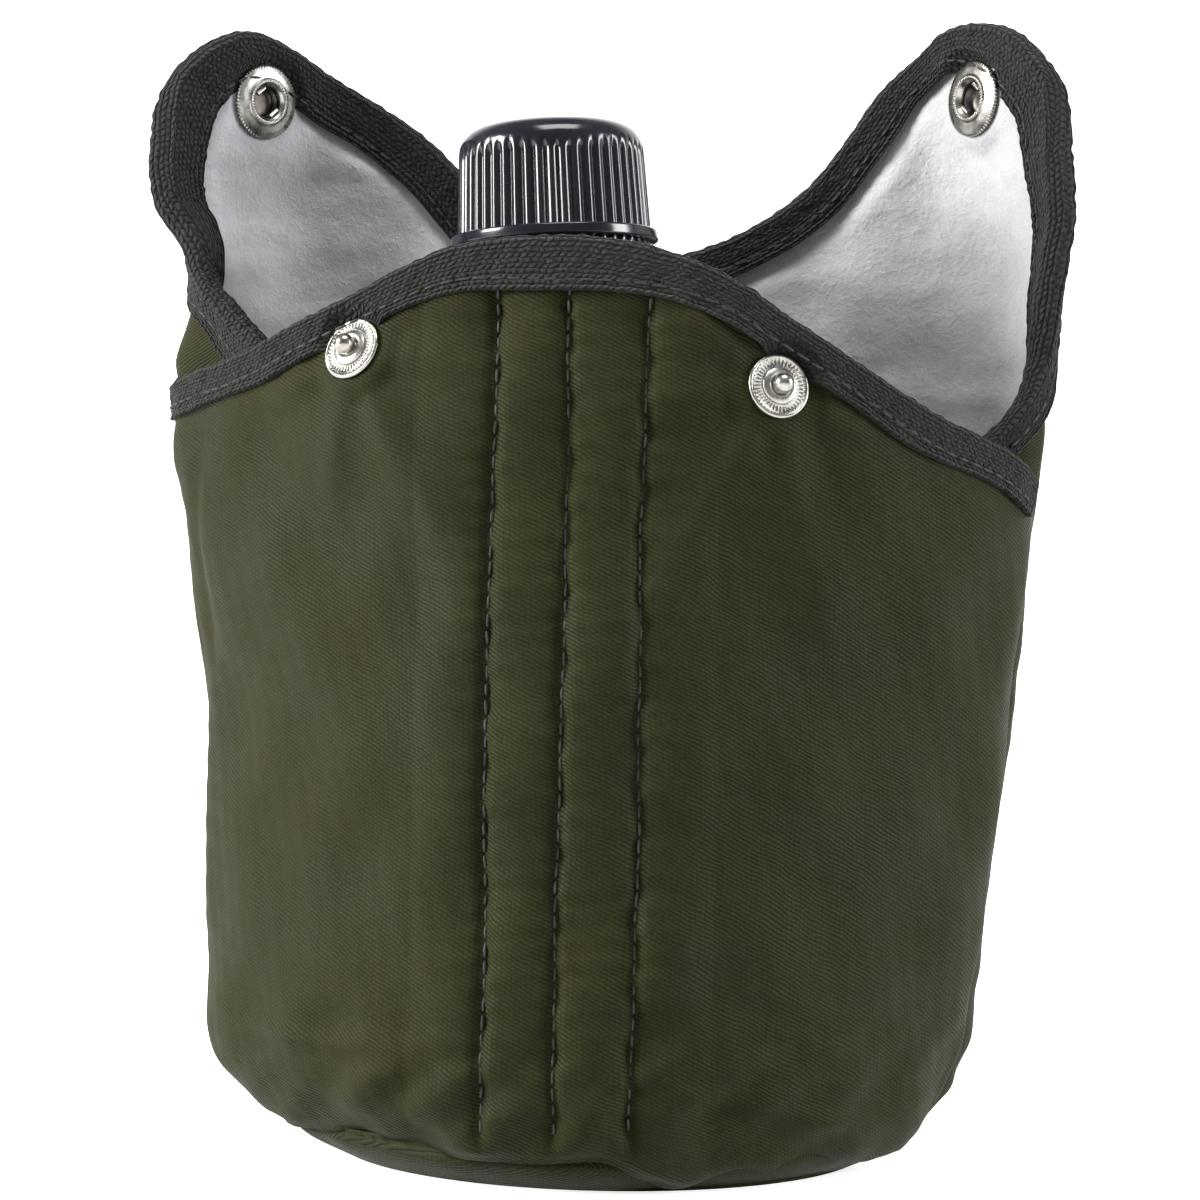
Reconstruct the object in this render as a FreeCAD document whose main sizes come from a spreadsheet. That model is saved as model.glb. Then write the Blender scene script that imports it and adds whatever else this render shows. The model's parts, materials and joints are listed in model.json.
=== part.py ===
"""A one-quart field canteen in its padded cloth cover, in millimetres.

The origin is on the floor under the middle of the cover, +Z is up and the front faces -Y.
The cover is an open pocket: a front panel, a back panel and a bottom panel of nylon, each with a
felt lining. Two ears rise from the back panel. Each ear folds over the bottle's shoulder and its
tip folds down the front, where its press stud closes. The bottle leans a little in the pocket.
"""
import FreeCAD, Part
import math
import os

from FreeCAD import Placement, Rotation, Vector

UP = Vector(0, 0, 1)
LEFT = -1
RIGHT = 1

DIMENSIONS = {
    "nylon": 1.0,
    "felt": 2.2,
    "tape": 0.9,
    "tape_width": 9.5,
    "cloth_gap": 0.05,
    "hem": 1.2,
    "seam_height": 9.0,
    "side_seam_y": -8.0,
    "fold_gap": 0.4,
    "inner_fold_gap": 2.2,
    "root_fold_gap": 1.0,
    "bottle_wall": 2.0,
    "bottle_lean": 3.5,
    "bottle_base_x": 4.0,
    "bottle_base_z": 7.6,
    "neck_y": -9.0,
    "neck_radius": 13.2,
    "neck_bore": 10.8,
    "neck_foot": 144.0,
    "neck_top": 184.4,
    "thread_radius": 14.2,
    "thread_pitch": 5.5,
    "cap_foot": 163.2,
    "cap_height": 25.5,
    "cap_radius": 18.2,
    "cap_top_radius": 16.6,
    "cap_flange": 18.7,
    "cap_bore": 14.6,
    "groove_radius": 17.1,
    "groove_foot": 1.2,
    "groove_top": 4.2,
    "cap_shoulder": 21.5,
    "cap_crown": 13.0,
    "cap_top_wall": 2.6,
    "rib_count": 48,
    "rib_depth": 0.7,
    "gasket_thickness": 1.5,
    "ring_radius": 19.4,
    "ring_bore": 17.4,
    "ring_height": 2.2,
    "neck_ring_radius": 15.3,
    "neck_ring_height": 2.6,
    "neck_ring_z": 153.5,
    "strap_width": 8.0,
    "strap_thickness": 1.8,
    "closed_gap": 4.4,
    "stud_flange": 5.9,
    "stud_plate": 0.5,
    "stud_rim": 0.45,
    "stud_collar": 2.9,
    "stud_collar_top": 1.5,
    "stud_neck": 1.5,
    "stud_ball": 1.9,
    "stud_ball_z": 2.4,
    "post_radius": 1.4,
    "eyelet_radius": 4.6,
    "eyelet_plate": 0.6,
    "socket_radius": 6.9,
    "socket_bore": 3.2,
    "socket_depth": 2.3,
    "socket_bead": 0.7,
    "spring_wire": 0.4,
    "spring_offset": 2.6,
    "button_radius": 7.2,
    "button_height": 1.8,
    "loop_width": 45.0,
    "loop_thickness": 1.8,
    "loop_room": 8.0,
    "loop_top": 138.0,
    "loop_foot": 62.0,
}

# height, half width, centre x, depth to the front, depth to the back, end radius
COVER_SECTIONS = (
    (0.0, 48.0, 3.0, 31.0, 17.0, 13.0),
    (4.0, 58.0, 3.0, 39.0, 23.5, 19.5),
    (9.0, 64.0, 3.0, 43.0, 26.0, 22.0),
    (20.0, 71.5, 1.0, 46.0, 27.5, 23.5),
    (45.0, 74.3, 2.2, 47.0, 28.0, 24.0),
    (75.0, 76.0, 3.8, 47.0, 28.0, 24.0),
    (105.0, 79.3, 3.0, 46.5, 28.5, 24.0),
    (135.0, 82.3, 2.6, 45.0, 30.2, 24.0),
    (150.0, 83.3, 1.4, 45.0, 30.4, 24.0),
    (172.0, 84.0, 1.4, 43.0, 30.4, 24.0),
)
END_Y = 7.0

# height above the base, half width, depth to the front, depth to the back, end radius, end y
BOTTLE_SECTIONS = (
    (0.0, 47.0, 27.0, 12.0, 15.0, 0.0),
    (2.5, 52.0, 32.5, 17.0, 18.0, 2.0),
    (8.0, 55.5, 36.0, 20.0, 19.5, 2.5),
    (20.0, 58.0, 37.5, 20.5, 20.0, 2.5),
    (60.0, 60.0, 38.0, 20.5, 20.0, 2.5),
    (100.0, 61.0, 38.0, 20.5, 20.0, 2.5),
    (115.0, 60.5, 37.6, 20.0, 20.0, 2.0),
    (128.0, 56.0, 35.0, 17.0, 19.5, 0.0),
    (138.0, 47.5, 31.5, 12.5, 19.0, -4.0),
    (146.0, 35.5, 27.0, 8.0, 17.5, -9.0),
    (151.0, 20.0, 23.5, 5.5, 13.8, -9.0),
)

# the front panel's top edge: x and height, from the left side to the right side
FRONT_EDGE = (
    (-95.0, 143.5), (-80.0, 144.0), (-66.0, 146.0), (-50.0, 151.0), (-38.0, 155.4), (-28.0, 161.4),
    (-10.0, 168.2), (10.0, 167.8), (26.0, 161.0), (38.0, 152.8), (62.0, 139.5), (78.0, 133.5),
    (87.0, 126.0), (100.0, 118.0),
)

# the edge of the back panel and its ears: x and height
EAR_EDGE = {
    LEFT: ((0.0, 172.0), (-12.0, 174.0), (-23.4, 180.8), (-37.0, 196.2), (-56.0, 208.4),
           (-71.5, 215.5), (-81.5, 208.5), (-86.5, 193.0), (-88.5, 176.0), (-90.0, 140.0)),
    RIGHT: ((0.0, 172.0), (14.0, 173.6), (30.0, 180.0), (42.0, 189.0), (53.6, 205.7),
            (65.5, 215.3), (76.0, 216.8), (86.0, 206.0), (91.5, 184.5), (93.5, 162.0),
            (95.0, 130.0)),
}

# each ear's plan at a height: the corner's x and y, its radius, and the front end's x and y
EAR_PLANS = {
    LEFT: ((125.0, -79.0, 30.4, 24.0, -79.0, -7.6), (150.0, -81.2, 30.4, 24.0, -81.8, -7.6),
           (180.0, -70.5, 29.5, 20.0, -85.0, 0.0), (203.0, -61.2, 28.0, 18.0, -84.2, 1.6),
           (220.0, -56.0, 28.0, 18.0, -82.0, 2.0)),
    RIGHT: ((125.0, 84.0, 30.4, 24.0, 84.0, -7.6), (150.0, 87.0, 30.4, 24.0, 88.0, -7.6),
            (180.0, 76.0, 29.5, 20.0, 90.0, -5.0), (203.0, 64.6, 28.0, 18.0, 88.6, -2.4),
            (220.0, 60.0, 28.0, 18.0, 86.0, -1.0)),
}

# the fold at each ear's root runs from the neck to the side; its second fold crosses the ear
# below the tip. The socket's middle is on the lining, and it faces along the azimuth and rise.
FOLDS = {
    LEFT: {
        "neck_end": Vector(-6.7, 22.6, 151.8), "side_end": Vector(-78.6, 2.1, 145.4),
        "root_angle": 90.0, "tip_foot": Vector(-63.2, 21.9, 191.7),
        "tip_line": Vector(0.582, 0.593, 0.556), "tip_angle": 40.0,
        "socket": Vector(-67.4, 15.7, 202.7), "azimuth": 49.0, "rise": -5.2,
        "inner_foot": Vector(-29.5, 0, 150.0), "inner_top": Vector(-41.0, 0, 198.0),
    },
    RIGHT: {
        "neck_end": Vector(9.7, 23.5, 152.9), "side_end": Vector(78.7, 2.3, 144.1),
        "root_angle": 94.0, "tip_foot": Vector(66.7, 20.2, 192.2),
        "tip_line": Vector(0.504, -0.630, -0.591), "tip_angle": 46.0,
        "socket": Vector(71.8, 13.6, 203.6), "azimuth": -51.5, "rise": -0.2,
        "inner_foot": Vector(21.0, 0, 150.0), "inner_top": Vector(46.0, 0, 198.0),
    },
}

document = FreeCAD.newDocument("canteen")
sheet = document.addObject("Spreadsheet::Sheet", "dimensions")
sheet.Label = "dimensions"
sub_parts = []
closed_pieces = {LEFT: [], RIGHT: []}


def fill_sheet():
    """One row for each driving dimension: its name in column A and its value in column B."""
    for row, (name, value) in enumerate(DIMENSIONS.items(), start=1):
        sheet.set("A%d" % row, name)
        sheet.set("B%d" % row, str(value))
        sheet.setAlias("B%d" % row, name)
    document.recompute()


def size(name):
    return float(sheet.get(name))


def keep(item, label):
    item.Label = label
    sub_parts.append(item)
    return item


def keep_shape(label, shape, placement=None):
    """A soft or sculpted piece, whose shape comes from the sheet's sizes through this code."""
    feature = document.addObject("Part::Feature", label)
    feature.Shape = shape
    if placement is not None:
        feature.Placement = placement
    return keep(feature, label)


# ---------------------------------------------------------------- outlines

def kidney(half_width, front, back, end_radius, end_y, height, centre_x=0.0, inset=0.0):
    """A broad front arc, two round ends and a hollow back arc, all tangent to each other."""
    reach = half_width - end_radius
    front_rise = front + end_y - end_radius
    back_rise = back - end_y - end_radius
    front_radius = (reach ** 2 + front_rise ** 2) / (2 * front_rise) + end_radius - inset
    back_radius = -(reach ** 2 + back_rise ** 2) / (2 * back_rise) - end_radius + inset
    radius = end_radius - inset
    end_centre = Vector(reach, end_y, 0)
    front_centre = Vector(0, -front + inset + front_radius, 0)
    back_centre = Vector(0, back - inset + back_radius, 0)
    front_touch = end_centre + (end_centre - front_centre).normalize() * radius
    back_touch = end_centre + (back_centre - end_centre).normalize() * radius * math.copysign(1, back_radius)
    shift = Vector(centre_x, 0, height)

    def place(point, side=RIGHT):
        return Vector(point.x * side, point.y, 0) + shift

    arcs = (
        (place(front_touch, LEFT), place(Vector(0, -front + inset, 0)), place(front_touch)),
        (place(front_touch), place(Vector(reach + radius, end_y, 0)), place(back_touch)),
        (place(back_touch), place(Vector(0, back - inset, 0)), place(back_touch, LEFT)),
        (place(back_touch, LEFT), place(Vector(reach + radius, end_y, 0), LEFT), place(front_touch, LEFT)),
    )
    return Part.Wire([Part.Arc(*points).toShape() for points in arcs])


def cover_block(inset, floor=0.0):
    """The space inside the cover's outer face, moved in by inset and standing on floor."""
    wires = []
    for height, half_width, centre_x, front, back, end_radius in COVER_SECTIONS:
        wires.append(kidney(half_width, front, back, end_radius, END_Y, height, centre_x, inset))
    block = Part.makeLoft(wires, True, True)
    if floor > 0:
        block = block.cut(Part.makeBox(400, 400, floor, Vector(-200, -200, 0)))
    return block


def curve_through(points):
    spline = Part.BSplineCurve()
    spline.interpolate(points)
    return spline.toShape()


def shifted(points, distance):
    """Points of an edge in the XZ plane, moved to the left of its direction by distance."""
    moved = []
    for index, point in enumerate(points):
        before = points[max(index - 1, 0)]
        after = points[min(index + 1, len(points) - 1)]
        length = math.hypot(after[0] - before[0], after[1] - before[1])
        moved.append((point[0] - (after[1] - before[1]) / length * distance,
                      point[1] + (after[0] - before[0]) / length * distance))
    return moved


def slab_under(edge, low, y_near, y_far):
    """The space under an edge curve in the XZ plane, between two depths."""
    points = [Vector(x, y_near, z) for x, z in edge]
    foot = [Vector(points[-1].x, y_near, low), Vector(points[0].x, y_near, low)]
    sides = Part.makePolygon([points[-1], foot[0], foot[1], points[0]])
    face = Part.Face(Part.Wire([curve_through(points)] + sides.Edges))
    return face.extrude(Vector(0, y_far - y_near, 0))


def ear_plan(side, row, outer, inner):
    """One level of an ear: a strip between two depths of the cloth, from the middle to its edge."""
    height, corner_x, corner_y, radius, end_x, end_y = row
    corner = Vector(corner_x, corner_y, height)
    end = Vector(end_x, end_y, height)
    along_back = Vector(side, 0, 0)
    along_side = (end - corner).normalize()
    turn = math.acos(along_back.dot(along_side))
    half = (math.pi - turn) / 2
    bisector = (along_side - along_back).normalize()
    centre = corner + bisector * (radius / math.sin(half))

    def side_of_strip(depth):
        back_normal = Vector(0, 1, 0)
        side_normal = Vector(-along_side.y * side, along_side.x * side, 0)
        if side_normal.x * side < 0:
            side_normal = side_normal * -1
        arc_radius = radius - depth
        middle = (back_normal + side_normal).normalize()
        start = Vector(0, corner_y - depth, height)
        return (start, centre + back_normal * arc_radius, centre + middle * arc_radius,
                centre + side_normal * arc_radius, end - side_normal * depth)

    outside = side_of_strip(outer)
    inside = side_of_strip(inner)
    return Part.Wire([
        Part.LineSegment(outside[0], outside[1]).toShape(),
        Part.Arc(outside[1], outside[2], outside[3]).toShape(),
        Part.LineSegment(outside[3], outside[4]).toShape(),
        Part.LineSegment(outside[4], inside[4]).toShape(),
        Part.LineSegment(inside[4], inside[3]).toShape(),
        Part.Arc(inside[3], inside[2], inside[1]).toShape(),
        Part.LineSegment(inside[1], inside[0]).toShape(),
        Part.LineSegment(inside[0], outside[0]).toShape(),
    ])


def ear_block(side, outer, inner, inset):
    """An ear's cloth between two depths, cut to the ear's edge less an inset."""
    strip = Part.makeLoft([ear_plan(side, row, outer, inner) for row in EAR_PLANS[side]], True, True)
    edge = shifted(EAR_EDGE[side], side * inset * -1)
    edge[0] = (0.0, EAR_EDGE[side][0][1] - inset)
    trimmed = strip.common(slab_under(edge, 100.0, -60.0, 60.0))
    if inset > 0:
        near = Part.makeBox(400, 400, 400, Vector(-200, -400 + front_end(side, inset), 0))
        trimmed = trimmed.cut(near)
    return trimmed


def front_end(side, inset):
    """The depth at which an inset copy of the ear stops, behind the ear's front edge."""
    return EAR_PLANS[side][3][5] + inset


# ---------------------------------------------------------------- folds

def facing(azimuth, rise):
    azimuth, rise = math.radians(azimuth), math.radians(rise)
    return Vector(math.sin(azimuth) * math.cos(rise), -math.cos(azimuth) * math.cos(rise), math.sin(rise))


def root_line(side):
    fold = FOLDS[side]
    return fold["neck_end"], (fold["side_end"] - fold["neck_end"]).normalize()


def turned(point, origin, axis, degrees):
    return Rotation(axis, degrees).multVec(point - origin) + origin


def half_space(point, normal):
    """A large block that fills the side of a plane that its normal points to."""
    block = Part.makeBox(400, 400, 400, Vector(-200, -200, 0))
    block.Placement = Placement(point, Rotation(UP, normal))
    return block


def above_root(side, gap):
    """The space above the root fold and behind it, where the folding cloth lies at rest."""
    origin, along = root_line(side)
    level = Vector(-along.y, along.x, 0).normalize()
    rise = level.cross(along).normalize()
    if rise.z < 0:
        rise = rise * -1
    back = along.cross(rise).normalize()
    if back.y < 0:
        back = back * -1
    fold = FOLDS[side]
    lean = (fold["inner_top"] - fold["inner_foot"]).normalize()
    outward = Vector(lean.z, 0, -lean.x)
    if outward.x * side < 0:
        outward = outward * -1
    space = half_space(origin + rise * gap, rise)
    inner_gap = size("inner_fold_gap") if gap > 0 else 0.0
    space = space.common(half_space(fold["inner_foot"] + outward * inner_gap, outward))
    return space, half_space(origin + back * 0.05, back)


def tip_wedge(side):
    """The space that the tip fold needs on the lining side, shared by both sides of the fold."""
    fold = FOLDS[side]
    foot = fold["tip_foot"]
    along = Vector(fold["tip_line"]).normalize()
    lining = facing(fold["azimuth"], fold["rise"])
    half = math.radians(fold["tip_angle"] / 2 + 1.0)
    across = along.cross(lining).normalize()
    reach = 60.0
    start = foot - along * 80.0
    outline = Part.makePolygon([
        start - lining * 0.5, start + lining * reach + across * reach * math.tan(half),
        start + lining * reach - across * reach * math.tan(half), start - lining * 0.5])
    return Part.Face(outline).extrude(along * 160.0)


def beyond_tip_fold(side, gap):
    fold = FOLDS[side]
    along = Vector(fold["tip_line"]).normalize()
    lining = facing(fold["azimuth"], fold["rise"])
    outward = along.cross(lining).normalize()
    if outward.dot(fold["socket"] - fold["tip_foot"]) < 0:
        outward = outward * -1
    return half_space(fold["tip_foot"] + outward * gap, outward)


def closed_socket(side):
    """Where the socket's middle and its facing direction come to when both folds are closed."""
    fold = FOLDS[side]
    along = Vector(fold["tip_line"]).normalize()
    lining = facing(fold["azimuth"], fold["rise"])
    outward = fold["socket"] - fold["tip_foot"]
    sign = 1 if along.cross(outward).dot(lining) > 0 else -1
    middle = turned(fold["socket"], fold["tip_foot"], along, sign * fold["tip_angle"])
    look = Rotation(along, sign * fold["tip_angle"]).multVec(lining)
    origin, root = root_line(side)
    root_turn = fold["root_angle"] * side
    middle = turned(middle, origin, root, root_turn)
    look = Rotation(root, root_turn).multVec(look)
    return middle, look, sign


def closed_copy(side, shape, root_angle, tip_angle=0.0):
    """A copy of an ear's piece where it lies with its folds at these angles."""
    fold = FOLDS[side]
    _, _, sign = closed_socket(side)
    copy = shape.copy()
    copy.rotate(fold["tip_foot"], Vector(fold["tip_line"]).normalize(), sign * tip_angle)
    origin, root = root_line(side)
    copy.rotate(origin, root, root_angle * side)
    return copy


# ---------------------------------------------------------------- the cover

def cover_wall(outer, inner):
    return cover_block(outer).cut(cover_block(inner))


def cloth_layers():
    """Each cloth layer's outer and inner depth below the cover's outer face."""
    nylon = size("nylon")
    return {"shell": (0.0, nylon), "lining": (nylon + size("cloth_gap"), nylon + size("felt"))}


def tape_depths():
    whole = size("nylon") + size("felt")
    return -size("tape"), whole + size("tape")


def front_region(inset):
    edge = shifted(FRONT_EDGE, -inset)
    return slab_under(edge, size("seam_height"), -80.0, size("side_seam_y"))


def binding_from(block, region, core_region):
    """A folded tape: a channel along the edge of a region, around the cloth's core."""
    outer, inner = tape_depths()
    channel = block(outer, inner).common(region(0.0))
    channel = channel.cut(region(size("tape_width")))
    core = block(-size("cloth_gap"), size("nylon") + size("felt") + size("cloth_gap"))
    return channel.cut(core.common(core_region))


def snap_holes(shape, middles, radius):
    """Cut round holes through the cloth where the snap posts pass."""
    for middle, look in middles:
        shape = shape.cut(Part.makeCylinder(radius, 24.0, middle - look * 12.0, look))
    return shape


def seat_pocket(shape, middle, look, radius):
    """Press the cloth flat round a snap part: nothing of it stays beyond the part's foot."""
    return shape.cut(Part.makeCylinder(radius + 0.15, 12.0, middle, look))


def stud_seats():
    """The middle of each stud on the nylon's outer face, and the direction that it faces."""
    seats = {}
    for side in (LEFT, RIGHT):
        middle, look, _ = closed_socket(side)
        seats[side] = (middle + look * size("closed_gap"), look * -1)
    return seats


def under_ears(shape, bodies):
    """Give way to the ears where they press on the cover with both folds closed."""
    for side in (LEFT, RIGHT):
        for piece in closed_pieces[side]:
            if piece[0] in bodies:
                shape = shape.cut(piece[1])
    return real_solids(shape)


def make_front():
    seats = stud_seats().values()
    whole = size("nylon") + size("felt")
    for name, depths in cloth_layers().items():
        cloth = cover_wall(*depths).common(front_region(size("hem")))
        cloth = snap_holes(cloth, seats, size("post_radius") + 0.1)
        for middle, look in seats:
            cloth = seat_pocket(cloth, middle + look * 0.05, look, size("stud_flange"))
            cloth = seat_pocket(cloth, middle - look * (whole + 0.35), look * -1, size("eyelet_radius"))
        keep_shape("front_" + name, under_ears(cloth, ("tip",)))
    binding = binding_from(cover_wall, front_region, front_region(size("hem") - size("cloth_gap")))
    binding = snap_holes(binding, seats, size("stud_flange") + 0.2)
    keep_shape("front_binding", under_ears(binding, ("tip",)))


def whole_ears(outer, inner, inset):
    return ear_block(LEFT, outer, inner, inset).fuse(ear_block(RIGHT, outer, inner, inset))


def folding_space(side, gap):
    rising, behind = above_root(side, gap)
    return rising.common(behind)


def back_upper(outer, inner, inset):
    """The upper part of the back panel: what stays with the cover below the ears' folds."""
    upper = whole_ears(outer, inner, inset)
    for side in (LEFT, RIGHT):
        rising, _ = above_root(side, 0.0)
        upper = upper.cut(rising)
    return upper


def make_back():
    bottle = bottle_block(-0.25, 0.0)
    bottle.Placement = bottle_placement()
    seam = size("seam_height")
    split = 130.0
    behind_seam = Part.makeBox(400, 200, split - seam, Vector(-200, size("side_seam_y") + 0.3, seam))
    above_split = Part.makeBox(400, 400, 200, Vector(-200, -200, split))
    for name, depths in cloth_layers().items():
        lower = cover_wall(*depths).common(behind_seam)
        upper = back_upper(*depths, size("hem")).common(above_split)
        cloth = lower.fuse(upper).removeSplitter()
        if name == "lining":
            cloth = under_ears(cloth.cut(bottle), ("flap",))
        keep_shape("back_" + name, cloth)
    outer, inner = tape_depths()
    gap = size("cloth_gap")
    core = back_upper(-gap, size("nylon") + size("felt") + gap, size("hem") - gap)
    channel = back_upper(outer, inner, 0.0).cut(back_upper(outer, inner, size("tape_width")))
    channel = channel.cut(core)
    middle = Part.makeBox(70.0, 80.0, 60.0, Vector(-38.0, 0.0, 155.0))
    keep_shape("back_binding", largest_solid(channel.common(middle)))


def largest_solid(shape):
    return max(shape.Solids, key=lambda solid: solid.Volume)


def real_solids(shape):
    """Drop crumbs that a cut can leave, and keep every piece of a real size."""
    solids = [solid for solid in shape.Solids if solid.Volume > 40.0]
    return solids[0] if len(solids) == 1 else Part.makeCompound(solids)


def make_bottom():
    seam = size("seam_height")
    below = Part.makeBox(400, 400, seam - 0.05, Vector(-200, -200, 0))
    for name, (outer, inner) in cloth_layers().items():
        dish = cover_block(outer, outer).cut(cover_block(inner, inner)).common(below)
        keep_shape("bottom_" + name, dish)


def make_belt_loop():
    """A webbing loop sewn to the back above and below, open for a belt between."""
    top, foot = size("loop_top"), size("loop_foot")
    thick, room = size("loop_thickness"), size("loop_room")
    half = size("loop_width") / 2
    seam = 12.0
    high_y, low_y = 30.9, 29.1
    inner = [(high_y, top), (high_y, top - seam), (high_y + room, top - seam - 6.0),
             (low_y + room, foot + seam + 6.0), (low_y, foot + seam), (low_y, foot)]
    outer = [(y + thick, z) for y, z in reversed(inner)]
    points = [Vector(-half, y, z) for y, z in inner + outer]
    face = Part.Face(Part.makePolygon(points + points[:1]))
    keep_shape("belt_loop", face.extrude(Vector(2 * half, 0, 0)))


# ---------------------------------------------------------------- the ears

def tip_split(side, shape):
    """An ear's moving cloth in two: the part below the tip fold and the tip."""
    wedge = tip_wedge(side)
    gap = size("fold_gap") / 2
    tip = shape.common(beyond_tip_fold(side, gap)).cut(wedge)
    root = shape.cut(beyond_tip_fold(side, -gap)).cut(wedge)
    return real_solids(root), real_solids(tip)


def make_ear(side):
    name = "left" if side == LEFT else "right"
    fold = FOLDS[side]
    look = facing(fold["azimuth"], fold["rise"])
    space = folding_space(side, size("root_fold_gap"))
    middles = [(fold["socket"], look)]
    whole = size("nylon") + size("felt")
    pieces = {}
    for layer, depths in cloth_layers().items():
        cloth = ear_block(side, *depths, size("hem")).common(space)
        cloth = snap_holes(cloth, middles, size("post_radius") + 0.1)
        cloth = seat_pocket(cloth, fold["socket"] + look * 0.05, look, size("socket_radius"))
        pieces[layer] = seat_pocket(cloth, fold["socket"] - look * (whole + 0.3), look * -1,
                                    size("button_radius"))
    outer, inner = tape_depths()
    gap = size("cloth_gap")
    core = ear_block(side, -gap, size("nylon") + size("felt") + gap, size("hem") - gap)
    channel = ear_block(side, outer, inner, 0.0).cut(ear_block(side, outer, inner, size("tape_width")))
    channel = snap_holes(channel.cut(core).common(space), middles, size("button_radius") + 0.2)
    pieces["binding"] = channel
    for layer, cloth in pieces.items():
        root, tip = tip_split(side, cloth)
        keep_shape("%s_flap_%s" % (name, layer), root)
        keep_shape("%s_tip_%s" % (name, layer), tip)
        closed = fold["root_angle"]
        for angle in (closed,) + ((20.0, 26.0, 31.3, 37.0, 45.0) if layer == "shell" else ()):
            closed_pieces[side].append(("flap", closed_copy(side, root, angle)))
        for root_turn, tip_turn in ((closed, fold["tip_angle"]), (closed + 0.6, fold["tip_angle"]), (closed, 0.0)):
            closed_pieces[side].append(("tip", closed_copy(side, tip, root_turn, tip_turn)))


# ---------------------------------------------------------------- snaps

def bound(kind, name, **sizes):
    """A primitive whose sizes are expressions on the sheet."""
    item = document.addObject(kind, name)
    for field, expression in sizes.items():
        item.setExpression(field, expression)
    return item


def lift(item, expression):
    item.setExpression(".Placement.Base.z", expression)
    return item


def fused(name, items, placement):
    joined = document.addObject("Part::MultiFuse", name)
    joined.Shapes = items
    joined.Placement = placement
    return keep(joined, name)


def seat_placement(middle, look):
    return Placement(middle, Rotation(UP, look))


def make_stud(name, placement):
    plate = bound("Part::Cylinder", name + "_plate", Radius="dimensions.stud_flange",
                  Height="dimensions.stud_plate")
    rim = bound("Part::Torus", name + "_rim", Radius2="dimensions.stud_rim",
                Radius1="dimensions.stud_flange - dimensions.stud_rim")
    lift(rim, "dimensions.stud_plate")
    collar = bound("Part::Cone", name + "_collar", Radius1="dimensions.stud_collar",
                   Radius2="dimensions.stud_neck", Height="dimensions.stud_collar_top")
    neck = bound("Part::Cylinder", name + "_neck", Radius="dimensions.stud_neck",
                 Height="dimensions.stud_ball_z")
    ball = bound("Part::Sphere", name + "_ball", Radius="dimensions.stud_ball")
    lift(ball, "dimensions.stud_ball_z")
    fused(name, [plate, rim, collar, neck, ball], placement)


def make_eyelet(name, placement):
    """The riveted back of a stud: a post through the cloth and a plate on the lining."""
    post = bound("Part::Cylinder", name + "_post", Radius="dimensions.post_radius",
                 Height="dimensions.nylon + dimensions.felt")
    lift(post, "-dimensions.nylon - dimensions.felt")
    plate = bound("Part::Cylinder", name + "_plate", Radius="dimensions.eyelet_radius",
                  Height="dimensions.eyelet_plate")
    lift(plate, "-dimensions.nylon - dimensions.felt - dimensions.eyelet_plate - 0.4")
    stem = bound("Part::Cylinder", name + "_stem", Radius="dimensions.post_radius", Height="0.8")
    lift(stem, "-dimensions.nylon - dimensions.felt - 0.8")
    fused(name, [post, stem, plate], placement)


def make_socket(name, placement):
    """The ring on the lining that the stud presses into, with a bead round its mouth."""
    body = bound("Part::Cone", name + "_body", Radius1="dimensions.socket_radius",
                 Radius2="dimensions.socket_radius - 1.6", Height="dimensions.socket_depth")
    lift(body, "0.1")
    bead = bound("Part::Torus", name + "_bead", Radius1="dimensions.socket_bore + 1.2",
                 Radius2="dimensions.socket_bead")
    lift(bead, "dimensions.socket_depth - dimensions.socket_bead + 0.1")
    bore = bound("Part::Cylinder", name + "_bore", Radius="dimensions.socket_bore",
                 Height="dimensions.socket_depth + 2")
    lift(bore, "-1")
    whole = document.addObject("Part::MultiFuse", name + "_whole")
    whole.Shapes = [body, bead]
    ring = document.addObject("Part::Cut", name)
    ring.Base = whole
    ring.Tool = bore
    ring.Placement = placement
    keep(ring, name)


def make_spring(name, placement):
    """Two straight wires across the socket's bore, one on each side of the stud's neck."""
    reach = math.sqrt(size("socket_bore") ** 2 - (size("spring_offset") + size("spring_wire")) ** 2) - 0.05
    wires = []
    for side in (LEFT, RIGHT):
        start = Vector(side * size("spring_offset"), -reach, size("socket_depth") * 0.45)
        wires.append(Part.makeCylinder(size("spring_wire"), 2 * reach, start, Vector(0, 1, 0)))
    keep_shape(name, Part.makeCompound(wires), placement)


def make_button(name, placement):
    """The smooth cap on the outside of the ear, with its post through the cloth."""
    dome = bound("Part::Cone", name + "_dome", Radius1="dimensions.button_radius",
                 Radius2="dimensions.button_radius - 2.2", Height="dimensions.button_height")
    post = bound("Part::Cylinder", name + "_post", Radius="dimensions.post_radius",
                 Height="dimensions.nylon + dimensions.felt + 0.3")
    lift(post, "-dimensions.nylon - dimensions.felt")
    fused(name, [dome, post], placement)


def make_snaps():
    seats = stud_seats()
    whole = size("nylon") + size("felt")
    for side, name in ((LEFT, "left"), (RIGHT, "right")):
        middle, look = seats[side]
        make_stud(name + "_snap_stud", seat_placement(middle + look * 0.1, look))
        make_eyelet(name + "_stud_eyelet", seat_placement(middle, look))
        fold = FOLDS[side]
        look = facing(fold["azimuth"], fold["rise"])
        make_socket(name + "_snap_socket", seat_placement(fold["socket"], look))
        make_spring(name + "_socket_spring", seat_placement(fold["socket"], look))
        make_button(name + "_snap_button", seat_placement(fold["socket"] - look * (whole + 0.35), look * -1))


# ---------------------------------------------------------------- the bottle

def bottle_placement():
    return Placement(Vector(size("bottle_base_x"), 0, size("bottle_base_z")),
                     Rotation(Vector(0, 1, 0), -size("bottle_lean")))


def neck_axis(height):
    return Vector(0, size("neck_y"), height)


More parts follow.
